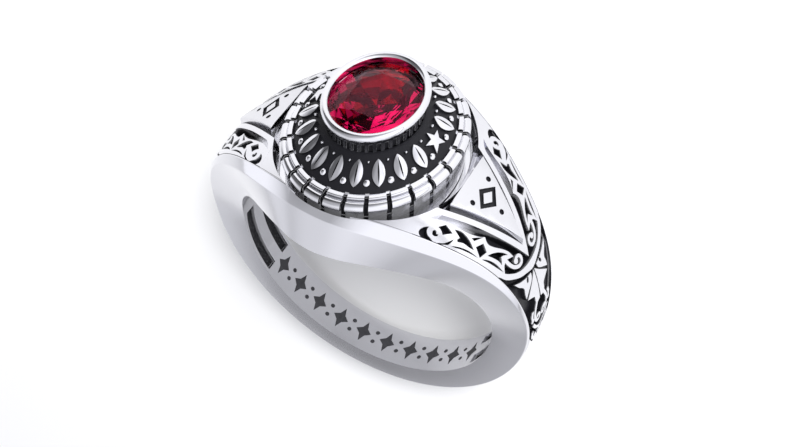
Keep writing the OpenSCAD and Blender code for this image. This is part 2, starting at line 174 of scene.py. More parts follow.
class StoneSizes(bpy.types.PropertyGroup):
    """Sizes of the stone and its bezel"""

    length: length("Stone length", "Length of the oval stone, along the finger", 6.0)
    oval: share("Oval", "Width of the stone and bezel as a share of their length", 0.8)
    rim_t: length("Rim thickness", "Thickness of the rolled rim", 0.5)
    rim_out: length("Rim overhang", "How far the rim stands out past the stone", 0.42)
    bezel_h: length("Bezel height", "Height of the bezel above the frieze", 1.4)
    flutes: count("Flutes", "Grooves round the bezel's foot", 40, 12)
    flute_h: length("Flute height", "Height of the grooves round the foot", 0.6)
    flute_d: length("Flute depth", "Depth of the grooves round the foot", 0.12)
    pavilion: length("Pavilion depth", "Depth of the stone below its girdle", 1.45)
    crown: length("Crown height", "Height of the stone above its girdle", 0.45)


class RowSizes(bpy.types.PropertyGroup):
    """Sizes of the row of lozenges inside the hole"""

    lozenges: count("Lozenges", "Lozenges in the row", 10, 2)
    lozenge_l: length("Lozenge half length", "Half a lozenge's length round the hole", 0.56)
    lozenge_w: length("Lozenge half width", "Half a lozenge's width along the finger", 0.82)
    dot_r: length("Dot radius", "Radius of a dot between two lozenges", 0.15)
    dot_y: length("Dot place", "How far a dot lies from the row's middle", 0.38)


class Looks(bpy.types.PropertyGroup):
    """Colours and polish"""

    silver: colour("Silver", "Colour of the polished silver", (0.74, 0.74, 0.77))
    oxide_and_shade: colour("Oxide", "Colour of the blackened recesses", (0.008, 0.008, 0.01))
    ruby: colour("Stone", "Colour of the red stone", (0.88, 0.007, 0.1))
    polish: share("Polish", "Roughness of the polished silver", 0.1)
    floor: colour("Floor", "Colour of the studio floor", (0.65, 0.65, 0.65))


GROUPS = {"ring_band": BandSizes, "ring_relief": ReliefSizes, "ring_plaque": PlaqueSizes,
          "ring_top": TopSizes, "ring_stone": StoneSizes, "ring_row": RowSizes, "ring_looks": Looks}


# Outlines of the band
def smooth_column(a, column):
    """A smooth curve through one column of the stations, at angles from the crown."""
    a = np.minimum(a, 360 - a)
    x, y = STATIONS[:, 0], STATIONS[:, column]
    slope = np.zeros_like(y)
    slope[1:-1] = (y[2:] - y[:-2]) / (x[2:] - x[:-2])
    i = np.clip(np.searchsorted(x, a, side="left") - 1, 0, len(x) - 2)
    h = x[i + 1] - x[i]
    u = (a - x[i]) / h
    return ((1 - 3 * u**2 + 2 * u**3) * y[i] + (u - 2 * u**2 + u**3) * h * slope[i]
            + (3 * u**2 - 2 * u**3) * y[i + 1] + (u**3 - u**2) * h * slope[i + 1])


class Outline:
    """The band's widths and radii at angles from the crown, in degrees."""

    def __init__(self, band, a):
        self.a = a = np.asarray(a, float)
        flare, thick, drop = (sum(smooth_column(np.abs(a + d), c) for d in (-6, -3, 0, 3, 6)) / 5
                              for c in (FLARE, THICK, DROP))
        self.bore_half = (band.band_w + (band.crown_w - band.band_w) * flare) / 2
        self.edge_half = self.bore_half - band.crown_lean * flare
        self.bevel_half = self.edge_half - band.bevel_w * (0.15 + 0.85 * drop)
        self.mid_r = BORE_R + band.band_t + (band.shoulder_t - band.band_t) * thick
        self.edge_r = self.mid_r - band.edge_drop * drop
        self.bevel_r = self.mid_r - 0.45 * band.edge_drop * drop

    def outer_r(self, y):
        """The outside's radius at y along the finger."""
        return self.mid_r - (self.mid_r - self.bevel_r) * (y / self.bevel_half) ** 2


def around(a, y, r):
    """Points at angles from the crown, y along the finger and r from the hole's axis."""
    t = np.radians(a)
    return np.stack(np.broadcast_arrays(r * np.sin(t), y, r * np.cos(t)), -1)


def moat_half(band, top):
    """Half the width and half the length of the oval hollow that the top stands in."""
    return top.length / 2 * top.oval + band.moat, top.length / 2 + MOAT_END_GAP


# Lines in a drawing's own plane
def line_distance(x, y, path):
    """Distance from each point to a line through the points of path."""
    best = np.full(x.shape, np.inf)
    for (ax, ay), (bx, by) in zip(path[:-1], path[1:]):
        dx, dy = bx - ax, by - ay
        t = np.clip(((x - ax) * dx + (y - ay) * dy) / (dx * dx + dy * dy), 0, 1)
        best = np.minimum(best, np.hypot(x - ax - t * dx, y - ay - t * dy))
    return best


def within(x, y, outline):
    """Whether each point lies inside a closed outline."""
    inside = np.zeros(x.shape, bool)
    for (ax, ay), (bx, by) in zip(outline, outline[1:] + outline[:1]):
        crosses = (ay > y) != (by > y)
        with np.errstate(divide="ignore", invalid="ignore"):
            inside ^= crosses & (x < ax + (y - ay) * (bx - ax) / (by - ay))
    return inside


def bend(a, b, c, d, u):
    """The point at a share u between b and c on a smooth line through four points."""
    return 0.5 * (2 * b + (c - a) * u + (2 * a - 5 * b + 4 * c - d) * u**2 + (3 * b - a - 3 * c + d) * u**3)


def curve(path, steps=6):
    """A smooth line through the points of path."""
    p = np.array([path[0], *path, path[-1]], float)
    p[0], p[-1] = 2 * p[1] - p[2], 2 * p[-2] - p[-3]
    parts = np.linspace(0, 1, steps, endpoint=False)
    out = [bend(*p[i - 1:i + 3], u) for i in range(1, len(p) - 2) for u in parts]
    return [tuple(q) for q in out] + [tuple(p[-2])]


def circle(x, y, r, steps):
    """A closed circle."""
    turns = np.linspace(0, 2 * math.pi, steps, endpoint=False)
    return [(x + r * math.cos(t), y + r * math.sin(t)) for t in turns]


def star_outline(r, points=5, waist=0.42):
    """A star with one point on x."""
    corners = [(q, math.pi * i / points) for i, q in enumerate([r, waist * r] * points)]
    return [(q * math.cos(t), q * math.sin(t)) for q, t in corners]


def leaf_outline(long, wide, steps=18):
    """A pointed leaf along x, between two arcs."""
    r = (long * long + wide * wide) / (4 * wide)
    reach = math.asin(long / 2 / r)
    side = [(r * math.sin(q), r * math.cos(q) - r + wide / 2) for q in np.linspace(-reach, reach, steps)]
    return side + [(x, -y) for x, y in side[-2:0:-1]]


# Drawings of half a shoulder, the other half being its mirror image: (angle from the crown,
# millimetres along the finger), with a third value at a sharp corner
DRAWN_R = 11.6 * MM
RELIEF_START, RELIEF_END = 24.0, 93.5
# Dark recesses cut out of the plain plate
CHANNEL = ((25.3, 3.23, 1), (26.2, 2.9), (27.3, 2.65), (28.6, 2.5), (36.3, 1.77), (44.2, 1.07),
           (55.6, 0, 1), (55.6, -0.05, 1), (57, -0.05, 1), (56.9, 0.4), (56.3, 0.95), (55.2, 1.42),
           (53.5, 1.84), (52.1, 2.1, 1), (50.3, 1.85), (49.8, 1.5, 1), (50.9, 1.02, 1), (48.6, 1.14),
           (46.7, 1.36), (44.4, 1.7), (42.7, 1.88), (41.4, 1.86), (40.4, 1.75, 1), (38.9, 2.02),
           (36.2, 2.32), (33.2, 2.52), (30.6, 2.68), (27.9, 2.89))
WELL = ((18, 3.14, 1), (51.4, 0, 1), (51.4, -0.05, 1), (18, -0.05, 1))
RECESSES = (
    ((26.6, 3.57, 1), (25.7, 3.74), (25.1, 3.98), (25.2, 4.2), (26.3, 4.31), (27.9, 4.25),
     (29.5, 4.06, 1), (28.6, 4.02), (27.4, 3.97), (26.6, 3.78)),
    ((28, 3.62), (28.4, 3.5), (28.9, 3.52, 1), (29.2, 3.62), (29.8, 3.58, 1), (29.8, 3.68), (29.2, 3.79),
     (28.4, 3.79)),
    ((28.5, 3.26, 1), (29.9, 2.87, 1), (31.1, 2.92), (32.7, 2.98, 1), (31.7, 3.2), (30.7, 3.44, 1),
     (30.1, 3.34), (29.2, 3.27)),
    ((28.8, 4.32, 1), (29.6, 4.15), (30.7, 4.01, 1), (31.3, 4.13, 1), (30.3, 4.27), (29.4, 4.34)),
    ((30.8, 3.96, 1), (32.5, 3.67), (33.9, 3.15, 1), (33.8, 3.41), (33.5, 3.64, 1), (32.4, 3.81),
     (31.6, 3.93)),
    ((32.4, 2.74, 1), (34.1, 2.56), (35.9, 2.53), (37.9, 2.6), (40.1, 2.77, 1), (38.6, 2.87),
     (36.6, 2.95), (35.1, 3.14, 1), (34.6, 3.06), (34.9, 2.88, 1)),
    ((37.5, 2.4, 1), (38.9, 2.08), (40.1, 1.84, 1), (39.4, 2.1), (38.6, 2.4, 1)),
    ((41.1, 2.08, 1), (43.4, 2.27, 1), (42.8, 2.8, 1), (40, 2.56, 1)),
    ((34.3, 3.56, 1), (35.7, 3.34), (37.6, 3.13), (39.8, 2.97), (42.6, 2.87, 1), (39.8, 3.07),
     (37.1, 3.29), (35.5, 3.46)),
    ((44.2, 2.36, 1), (44.9, 2.06), (46.1, 1.72), (47.6, 1.45), (49.2, 1.27, 1), (48.2, 1.52),
     (47.8, 1.72, 1), (48.7, 1.83), (49.6, 1.98, 1), (47.9, 2.01), (45.9, 2.18)),
    ((43.5, 2.77, 1), (44.8, 2.54), (46.7, 2.33), (48.8, 2.2), (51.6, 2.12, 1), (48.8, 2.34),
     (46.2, 2.53), (44.6, 2.67)),
)
SLIT = ((59.8, 0.78, 1), (60.6, 0.92), (61.6, 0.92), (61.6, 0.8), (60.3, 0.66, 1))
# Lower edge of the frame that closes the upper drawing
FRAME_EDGE = ((48, 3.4), (50.8, 2.62), (53.9, 2.22), (56, 1.73), (57.6, 1.25), (58.5, 0.8), (59.4, 0.3),
              (59.7, 0))
# Shapes that stand on the dark ground: outlines of leaves, and the middles of drawn lines
LEAVES = (
    ((57.5, 1.89, 1), (58.8, 1.42), (59.8, 0.85), (60.1, 0.36, 1), (61.7, 0.42), (63.1, 0.69),
     (64.3, 1.02), (65.7, 1.37, 1), (63.9, 1.38), (62, 1.31), (60.7, 1.45), (59.6, 1.66)),
    ((60.4, 0.05, 1), (66, 0.04), (71.6, 0.07, 1), (72, 0.4), (70.7, 0.58), (68.8, 0.6), (67.6, 0.92),
     (66.7, 1.27, 1), (64.5, 0.82), (62.7, 0.45)),
    ((86.4, -0.02, 1), (87.6, 0.2), (88.9, -0.02, 1), (87.6, -0.24)),
)
LINES = (
    ((49.5, 1.61), (51.2, 1.55), (53.2, 1.36), (54.5, 1.02), (54.5, 0.7), (53.3, 0.56), (52.1, 0.68),
     (52, 0.92), (52.6, 1.02)),
    ((70.6, 0.34), (73.2, 0.6), (75.8, 0.78), (78.3, 0.7), (80.1, 0.46), (80.2, 0.2), (78.9, 0.14),
     (77.8, 0.28), (77.9, 0.44)),
    ((79.8, 0.95), (82.6, 0.62), (84.6, 0.25), (85.6, 0)),
    ((73.4, 0.98), (75.2, 1.1), (77.4, 1.04)),
    ((83.6, 0.92), (86.4, 0.86), (88.9, 0.6), (89.4, 0.36), (88.3, 0.3), (87.7, 0.46)),
    ((89.8, 0.1), (90.8, 0.34), (92, 0.1)),
)


def drawn(a, y):
    """A point of a shoulder's drawing, laid flat."""
    return DRAWN_R * math.radians(a), y


def closed_curve(outline, step=0.07 * MM):
    """A smooth closed line through an outline's points, laid flat."""
    p = []
    for a, y, *sharp in outline:
        p += [drawn(a, y * MM)] * (3 if sharp else 1)
    p = np.array(p)
    out = []
    for i in range(len(p)):
        a, b, c, d = (p[(i + k) % len(p)] for k in (-1, 0, 1, 2))
        if not np.allclose(b, c):
            steps = max(1, int(np.linalg.norm(c - b) / step))
            out += [tuple(bend(a, b, c, d, u)) for u in np.linspace(0, 1, steps, endpoint=False)]
    return out


def line_outline(path, wide, narrow):
    """The outline of a smooth line whose width changes evenly, and of a bead on its end."""
    p = np.array(curve([drawn(a, y * MM) for a, y in path], 5))
    d = np.gradient(p, axis=0)
    side = np.stack([-d[:, 1], d[:, 0]], -1) / np.linalg.norm(d, axis=1)[:, None]
    half = np.linspace(wide, narrow, len(p))[:, None] / 2
    outline = [tuple(q) for q in p + side * half] + [tuple(q) for q in (p - side * half)[::-1]]
    return [outline, circle(*p[-1], 0.75 * wide, 14)]


# Stepped meshes, for relief
TOP, GROUND, STEEL, OUTSIDE = LEVELS = range(4)
WALL_SHADE = 0.55  # Oxide at a wall's upper edge, as a share of that at its foot


def triangulate(closed, open_lines, grid):
    """The points and triangles of a drawing, with an edge along every line in it."""
    points, edges = [], []
    for path, shut in [(c, True) for c in closed] + [(o, False) for o in open_lines]:
        base, n = len(points), len(path)
        points += [tuple(q) for q in path]
        edges += [(base + i, base + (i + 1) % n) for i in range(n if shut else n - 1)]
    points += [tuple(q) for q in grid]
    flat, _, faces, *_ = delaunay_2d_cdt([Vector(q) / MM for q in points], edges, [], 0, 1e-5)
    return np.array([tuple(q) for q in flat]) * MM, np.array([f for f in faces if len(f) == 3])


def terrace_walls(faces, level, placed, shade, base):
    """The walls between levels: points, faces that count from base, and oxide."""
    neighbours = {}
    for k, face in enumerate(faces):
        for i in range(3):
            edge = tuple(sorted((int(face[i]), int(face[(i + 1) % 3]))))
            neighbours.setdefault(edge, []).append((int(level[k]), k))
    points, walls, oxide_and_shade = [], [], []
    for (a, b), sides in neighbours.items():
        (high, k), (low, _) = sorted(sides + [(OUTSIDE, -1)] * (2 - len(sides)))
        if high == low or (high, low) == (GROUND, STEEL):
            continue
        upper, lower, foot = placed[high], placed[low], shade[low]
        away = (upper[a] + upper[b]) / 2 - upper[faces[k]].mean(0)
        if np.cross(upper[b] - upper[a], lower[a] - upper[a]).dot(away) < 0:
            a, b = b, a
        walls.append([base + len(points) + i for i in range(4)])
        points += [upper[a].tolist(), upper[b].tolist(), lower[b].tolist(), lower[a].tolist()]
        oxide_and_shade += [WALL_SHADE * foot[a], WALL_SHADE * foot[b], foot[b], foot[a]]
    return points, walls, oxide_and_shade


def terraces(closed, open_lines, grid, level_at, place_at, shade_at):
    """A stepped mesh: triangles over a drawing at their levels, and walls between them.

    level_at gives each triangle's level at its middle, place_at the points of one level and
    shade_at how black they are.
    """
    flat, faces = triangulate(closed, open_lines, grid)
    middle = flat[faces].mean(1)
    level = level_at(middle[:, 0], middle[:, 1])
    placed = [place_at(one, flat[:, 0], flat[:, 1]) for one in LEVELS]
    shade = [shade_at(one, flat[:, 0]) for one in LEVELS]
    # All triangles turn the same way: away from the level below
    corners = placed[TOP][faces]
    normal = np.cross(corners[:, 1] - corners[:, 0], corners[:, 2] - corners[:, 0])
    if (normal * (placed[TOP] - placed[OUTSIDE])[faces[:, 0]]).sum() < 0:
        faces = faces[:, ::-1]
    out, out_faces, oxide_and_shade = [], [], []
    for one in (TOP, GROUND, STEEL):
        out_faces += (faces[level == one] + len(out)).tolist()
        out += placed[one].tolist()
        oxide_and_shade += shade[one].tolist()
    points, walls, wall_oxide_and_shade = terrace_walls(faces, level, placed, shade, len(out))
    return np.array(out + points), out_faces + walls, np.array(oxide_and_shade + wall_oxide_and_shade)


def joined(parts):
    """One mesh from several: points, faces and oxide."""
    points, faces, oxide_and_shade = [], [], []
    for part_points, part_faces, part_oxide_and_shade in parts:
        base = sum(len(p) for p in points)
        points.append(part_points)
        faces += [[base + i for i in f] for f in part_faces]
        oxide_and_shade.append(part_oxide_and_shade)
    return np.concatenate(points), faces, np.concatenate(oxide_and_shade)


# Meshes
def grid_faces(rows, columns, close_rows, close_columns):
    """Four-sided faces over a grid of points that lie row by row."""
    i, j = np.meshgrid(np.arange(rows if close_rows else rows - 1),
                       np.arange(columns if close_columns else columns - 1), indexing="ij")
    k, m = (i + 1) % rows, (j + 1) % columns
    return np.stack([i * columns + j, i * columns + m, k * columns + m, k * columns + j], -1).reshape(-1, 4)


def add_object(name, data):
    """An object in the scene, from its mesh, light or camera."""
    obj = bpy.data.objects.new(name, data)
    bpy.context.scene.collection.objects.link(obj)
    return obj


def make_piece(name, points, faces, oxide_and_shade=None, smooth_angle=35, is_sheet=False):
    """A mesh object from points in the ring's frame; its oxide darkens its recesses and in places carries
    painted shade.

    A sheet's faces are turned already; those of a closed shape are turned outwards here.
    """
    mesh = bpy.data.meshes.new(name)
    mesh.from_pydata(points.reshape(-1, 3).tolist(), [], [list(f) for f in faces])
    mesh.validate()
    if oxide_and_shade is not None:
        layer = mesh.attributes.new("oxide_and_shade", "FLOAT", "POINT")
        layer.data.foreach_set("value", np.asarray(oxide_and_shade, np.float32).reshape(-1))
    return finish_shape(add_object(name, mesh), smooth_angle, is_sheet)


def finish_shape(obj, smooth_angle=35, is_sheet=False):
    """Drops loose points, turns the faces outwards, and smooths all but the sharp edges."""
    work = bmesh.new()
    work.from_mesh(obj.data)
    bmesh.ops.delete(work, geom=[v for v in work.verts if not v.link_faces], context="VERTS")
    if not is_sheet:
        bmesh.ops.recalc_face_normals(work, faces=work.faces)
    limit = math.radians(smooth_angle)
    for face in work.faces:
        face.smooth = True
    for edge in work.edges:
        edge.smooth = len(edge.link_faces) == 2 and edge.calc_face_angle(0) < limit
    work.to_mesh(obj.data)
    work.free()
    return obj


def place(obj, slot, material, *nodes):
    """Puts a piece from the ring's frame into the model's, on its body and in place of its nodes."""
    obj.data.transform(RING)
    obj.data.materials.clear()
    obj.data.materials.append(material)
    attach(obj, "root")
    if nodes:
        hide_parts(*nodes)


def place_pair(names, points, faces, oxide_and_shade, material, nodes=((), ())):
    """Puts a sheet on the right side of the ring, and its mirror image on the left."""
    for name, side, replaced in zip(names, (1, -1), nodes):
        obj = make_piece(name, points * (side, 1, 1), [f[::side] for f in faces], oxide_and_shade, is_sheet=True)
        place(obj, "silver", material, *replaced)


def rounded(points, radius, steps=3):
    """A line through points whose inner corners are rounded, the same number of points at any size."""
    points = np.asarray(points, float)
    out = [points[0]]
    for i in range(1, len(points) - 1):
        before, here, after = points[i - 1], points[i], points[i + 1]
        to_b, to_a = before - here, after - here
        reach_b, reach_a = np.linalg.norm(to_b), np.linalg.norm(to_a)
        cut = min(radius, 0.45 * reach_b, 0.45 * reach_a)
        p, q = here + to_b / reach_b * cut, here + to_a / reach_a * cut
        for u in np.linspace(0, 1, steps + 1):
            out.append((1 - u) ** 2 * p + 2 * u * (1 - u) * here + u**2 * q)
    out.append(points[-1])
    return np.array(out)


def arc(x, z, r, start, end, steps):
    """Points on part of a circle, between two angles in degrees."""
    return [(x + r * math.cos(q), z + r * math.sin(q)) for q in np.radians(np.linspace(start, end, steps))]


def revolve(name, lines, shades, picks, oval, turns, smooth_angle=35):
    """An oval ring of profiles: picks gives the number of each turn's line and oxide."""
    lines, t = np.array(lines)[picks], np.array(turns)[:, None]
    rings = np.stack([lines[..., 0] * np.cos(t) * oval, lines[..., 0] * np.sin(t), lines[..., 1]], -1)
    faces = grid_faces(*rings.shape[:2], True, True)
    return make_piece(name, rings, faces, np.array(shades)[picks], smooth_angle)


# Shader maths
class Sock:
    """A number on a node's output; arithmetic on it adds Math nodes."""

    def __init__(self, maker, socket):
        self.maker, self.socket = maker, socket

    def _math(self, operation, *values):
        node = self.maker.node("ShaderNodeMath", {"operation": operation}, dict(enumerate(values)))
        return Sock(self.maker, node.outputs[0])

    def __add__(self, other):
        return self._math("ADD", self, other)

    __radd__ = __add__

    def __sub__(self, other):
        return self._math("SUBTRACT", self, other)

    def __rsub__(self, other):
        return self._math("SUBTRACT", other, self)

    def __mul__(self, other):
        return self._math("MULTIPLY", self, other)

    __rmul__ = __mul__

    def __truediv__(self, other):
        return self._math("DIVIDE", self, other)

    def __rtruediv__(self, other):
        return self._math("DIVIDE", other, self)

    def clamp(self):
        """The number, kept between 0 and 1."""
        return self._math("MINIMUM", self._math("MAXIMUM", self, 0.0), 1.0)


class Maker:
    """Adds nodes to one material or world."""

    def __init__(self, owner):
        owner.use_nodes = True
        self.owner, self.tree = owner, owner.node_tree
        self.tree.nodes.clear()

    def node(self, kind, settings=None, inputs=None):
        """A new node: its settings first, then its inputs, linked or set."""
        node = self.tree.nodes.new(kind)
        for key, value in (settings or {}).items():
            setattr(node, key, value)
        for key, value in (inputs or {}).items():
            if isinstance(value, Sock):
                value = value.socket
            if isinstance(value, bpy.types.NodeSocket):
                self.tree.links.new(value, node.inputs[key])
            else:
                node.inputs[key].default_value = value
        return node

    def place(self):
        """Where a point lies on its object."""
        return self.node("ShaderNodeTexCoord").outputs["Object"]

    def dot(self, vector, direction):
        """How far a vector reaches in a direction."""
        node = self.node("ShaderNodeVectorMath", {"operation": "DOT_PRODUCT"}, {0: vector, 1: direction})
        return Sock(self, node.outputs["Value"])

    def noise(self, scale, detail=2.0):
        """Soft noise over the object's own place."""
        inputs = {"Vector": self.place(), "Scale": scale, "Detail": detail}
        return Sock(self, self.node("ShaderNodeTexNoise", None, inputs).outputs["Fac"])

    def blend(self, factor, a, b):
        """A colour between two, by a number."""
        return self.node("ShaderNodeMix", {"data_type": "RGBA"}, {0: factor, 6: a, 7: b}).outputs[2]

    def finish(self, inputs, shader="ShaderNodeBsdfPrincipled", output="ShaderNodeOutputMaterial"):
        """Joins a shader with these inputs to the output."""
        made = self.node(shader, None, inputs)
        self.node(output, None, {"Surface": made.outputs[0]})
        return self.owner


def rgba(rgb, tone=1.0):
    """A colour for a socket, darker by a tone below 1."""
    return (*(tone * c for c in rgb), 1.0)


# Where a plaque's painted shade changes: across it from the far corner by the top, from a start over a width
PLAQUE_SHADE_WAY = -0.7 * (ALONG + UP)
PLAQUE_SHADE_START, PLAQUE_SHADE_W = -9.5 * MM, 5.5 * MM


def silver_material(looks, name="polished_silver", painted_tones=None):
    """Polished silver with a fine wavering polish, black where it is oxidised, and darker where shade is
    painted.

    Painted shade darkens a plaque by two shares of the silver: the first at its far corner by the top, the
    second elsewhere.
    """
    if name in bpy.data.materials:
        return bpy.data.materials[name]
    m = Maker(bpy.data.materials.new(name))
    depth = Sock(m, m.node("ShaderNodeAttribute", {"attribute_name": "oxide_and_shade"}).outputs["Fac"])
    grain = m.noise(9000.0, 3.0)
    cloud = m.noise(260.0)
    grit = ((depth - 0.45) * 8.0).clamp()
    dark = ((depth - 0.5) * 3.2 + 0.5 + (grain - 0.5) * 0.5 * grit).clamp()
    # The flat sides of the ring are satin: they face along the hole's axis
    facing = m.dot(m.node("ShaderNodeNewGeometry").outputs["Normal"], tuple(ALONG))
    dulled = ((facing * facing - 0.72) * 6.0).clamp()
    roughness = looks.polish + (cloud - 0.5) * 0.04 + dark * 0.34 + dulled * 0.15
    bare = rgba(looks.silver)
    if painted_tones:
        painted_shade_share = ((m.dot(m.place(), tuple(PLAQUE_SHADE_WAY)) - PLAQUE_SHADE_START) / PLAQUE_SHADE_W).clamp()
        bare = m.blend(painted_shade_share, *(rgba(looks.silver, tone) for tone in painted_tones))
    base = m.blend(dark, bare, rgba(looks.oxide_and_shade))
    bump = m.node("ShaderNodeBump", None, {"Strength": 0.12, "Distance": 0.01 * MM,
                                           "Height": grain * dark + cloud * 0.4})
    return m.finish({"Base Color": base, "Metallic": 1.0 - dark * 0.9, "Roughness": roughness,
                     "Normal": bump.outputs[0], "Specular IOR Level": 0.2})


def oxide_material(looks):
    """Matt black fill of the lozenges inside the hole."""
    m = Maker(bpy.data.materials.new("black_oxide"))
    grain = m.noise(6000.0, 3.0)
    base = m.blend(grain, rgba(looks.oxide_and_shade), (0.04, 0.04, 0.045, 1.0))
    return m.finish({"Base Color": base, "Roughness": 0.45 + grain * 0.2})


def ruby_material(looks):
    """Clear deep red stone."""
    m = Maker(bpy.data.materials.new("red_stone"))
    base = m.blend(m.noise(500.0), rgba(looks.ruby), rgba(looks.ruby, 0.8))
    return m.finish({"Base Color": base, "Roughness": 0.0, "IOR": 1.76, "Transmission Weight": 1.0,
                     "Specular Tint": (0.6, 0.07, 0.16, 1.0)})


# Band
GROOVE_OUT, GROOVE_IN = 0.05 * MM, 0.09 * MM  # From the bevel to both sides of the line beside it
STRIP_START, STRIP_END = 86, 121  # Angles of the dark strips inside the hole
STRIP_EDGES = (1.17 * MM, 1.15 * MM, 0.45 * MM, 0.43 * MM)  # From the outer edge to the inner one
STRIP_BRIGHT = 0.66  # Oxide of a strip below its upper end
BORE_PAINTED_SHADE, BORE_SHADE_END, BORE_SHADE_FADE = 0.385, 132, 20  # Painted shade inside the hole, carried as oxide, and the angles where it ends
HOLLOW_H = 1.15 * MM  # Height over which the moat opens to its full width
HOLLOW_FOOT = 0.25  # Share of the moat's width that is open at the seat
BARE_WALL = 0.42  # Oxide of a wall that is only a little dark


def band_angles():
    """Angles from the crown, closer where the outline turns and at the ends of recesses."""
    half = np.concatenate([np.arange(0, 24, 1.5), [RELIEF_START, RELIEF_START + 0.05], np.arange(25, 93, 1.0),
                           [RELIEF_END - 0.05, RELIEF_END], np.arange(95, 180, 2.0),
                           [STRIP_START, STRIP_START + 0.3, STRIP_END, STRIP_END + 0.3]])
    half = np.unique(np.round(half, 3))
    return np.concatenate([half, [180], -half[:0:-1]])


def outer_row(relief, out):
    """The outside at one angle, between the bevels: places along the finger, radii and oxide."""
    edge = float(out.bevel_half) - GROOVE_OUT
    y = np.concatenate([[-1, -0.997], np.linspace(-0.99, 0.99, 25), [0.997, 1]]) * edge
    r = out.outer_r(y)
    shade = np.zeros(len(y))
    if out.a < RELIEF_START + 0.01:
        shade[[1, -2]] = 1
    elif out.a < RELIEF_END - 0.01:
        r[1:-1] = np.minimum(r[1:-1], float(relief_floor(relief, out)) - 0.1 * MM)
        shade[1:-1] = 1
    return y, r, shade


def bore_row(band, out):
    """The inside at one angle, with a dark strip on each side, in the same form."""
    y = np.array([0.999 * out.bore_half, 0.97 * out.bore_half, *STRIP_EDGES])
    y = np.concatenate([y, [0], -y[::-1]])
    cut = np.array([0, 0, 0, 1, 1, 0, 0, 0, 1, 1, 0, 0, 0]) * (STRIP_START + 0.1 < out.a < STRIP_END + 0.1)
    strip_shade = 1.0 if out.a < STRIP_START + 2.5 else STRIP_BRIGHT
    # Painted shade: inside the hole the silver is darker except near its bottom, standing in for dark
    # reflections
    dulled = BORE_PAINTED_SHADE * np.clip((BORE_SHADE_END - out.a) / BORE_SHADE_FADE, 0, 1)
    return y, BORE_R + cut * band.strip_depth, np.where(cut > 0, strip_shade, dulled)


def band_rows(band, relief):
    """The band's sections, and each point's oxide, which inside the hole also carries painted shade."""
    rows, shades = [], []
    for a in band_angles():
        out = Outline(band, abs(a))
        y, r, shade = outer_row(relief, out)
        bore_y, bore_r, bore_shade = bore_row(band, out)
        corners = [(out.bore_half, BORE_R), (out.edge_half, out.edge_r),
                   (out.bevel_half, out.bevel_r), (y[-1], r[-1])]
        side = rounded(corners, band.rounding, 4)[:-1]
        plain = np.zeros(len(side))
        line_y = np.concatenate([-side[:, 0], y, side[::-1, 0], bore_y])
        line_r = np.concatenate([side[:, 1], r, side[::-1, 1], bore_r])
        rows.append(around(a, line_y, line_r))
        shades.append(np.concatenate([plain, shade, plain, bore_shade]))
    return np.array(rows), np.array(shades)


def seat_cutter(band, top):
    """The oval hollow that the top stands in, dark at its floor."""
    columns = 240
    turns = np.linspace(0, 2 * math.pi, columns, endpoint=False)
    half = top.length / 2
    # The wall is hollow: it opens from the seat up to the full width of the moat
    steps = np.concatenate([np.linspace(0, 1, 9), [5.5]])
    rings, oxide_and_shade = [], []
    for u in steps:
        opening = 1 - math.sqrt(max(0, 1 - min(u, 1) ** 2))
        grow = band.moat * (HOLLOW_FOOT + (1 - HOLLOW_FOOT) * opening)
        height = np.full(columns, band.seat_z + HOLLOW_H * u)
        rings.append(np.column_stack([(half * top.oval + grow) * np.cos(turns),
                                      (half + MOAT_END_GAP) * np.sin(turns), height]))
        oxide_and_shade.append(np.full(columns, BARE_WALL * max(0, 1 - 3 * u)))
    faces = grid_faces(len(steps), columns, False, True).tolist()
    last = (len(steps) - 1) * columns
    faces += [list(range(columns))[::-1], list(range(last, last + columns))]
    return make_piece("seat_cutter", np.concatenate(rings), faces, np.concatenate(oxide_and_shade))


def cut_away(obj, cutter):
    """Cuts one piece out of another and removes the cutter."""
    modifier = obj.modifiers.new("cut", "BOOLEAN")
    modifier.operation, modifier.solver, modifier.object = "DIFFERENCE", "EXACT", cutter
    bpy.context.view_layer.update()
    cut = bpy.data.meshes.new_from_object(obj.evaluated_get(bpy.context.evaluated_depsgraph_get()))
    obj.modifiers.clear()
    obj.data = cut
    bpy.data.objects.remove(cutter)
    return finish_shape(obj)


class RING_OT_band(bpy.types.Operator):
    """Build the band with its shoulders and the seat of the top"""

    bl_idname = "ring.band"
    bl_label = "Band"

    def execute(self, context):
        s = context.scene
        rows, shades = band_rows(s.ring_band, s.ring_relief)
        obj = make_piece("band_casting", rows, grid_faces(*rows.shape[:2], True, True), shades)
        cut_away(obj, seat_cutter(s.ring_band, s.ring_top))
        place(obj, "silver", silver_material(s.ring_looks), "band")
        return {"FINISHED"}


# Relief of the shoulders
PLATE_END = RELIEF_END - 0.6
TAIL_START, TAIL_RUN = 82, 8  # Where the ground's lower end starts, and how long its rounding is
STEEL_START, STEEL_RUN, STEEL_BARE = 30, 18, 0.3  # Where the bare ground ends, and its oxide
RISE_START, RISE_RUN = 57, 3.5  # Where the ground rises below the upper drawing
MOAT_REACH = 4.2 * MM  # How far along the finger the moat bounds a plate
MOAT_WALL_SHADE = 0.45  # Oxide at the foot of the moat's wall


def at_angle(x):
    """The angle from the crown at x in a drawing."""
    return np.degrees(x / DRAWN_R)


def steel_shade(x):
    """How black the ground beside a plaque is: bare near the top, black towards the plaque's tip."""
    t = np.clip((at_angle(x) - STEEL_START) / STEEL_RUN, 0, 1)
    return STEEL_BARE + (1 - STEEL_BARE) * t * t * (3 - 2 * t)


def relief_floor(relief, out):
    """Radius of the dark ground, which rises below the upper drawing."""
    t = np.clip((out.a - RISE_START) / RISE_RUN, 0, 1)
    return out.mid_r - (relief.ground * (1 - t) + relief.leaf_ground * t)


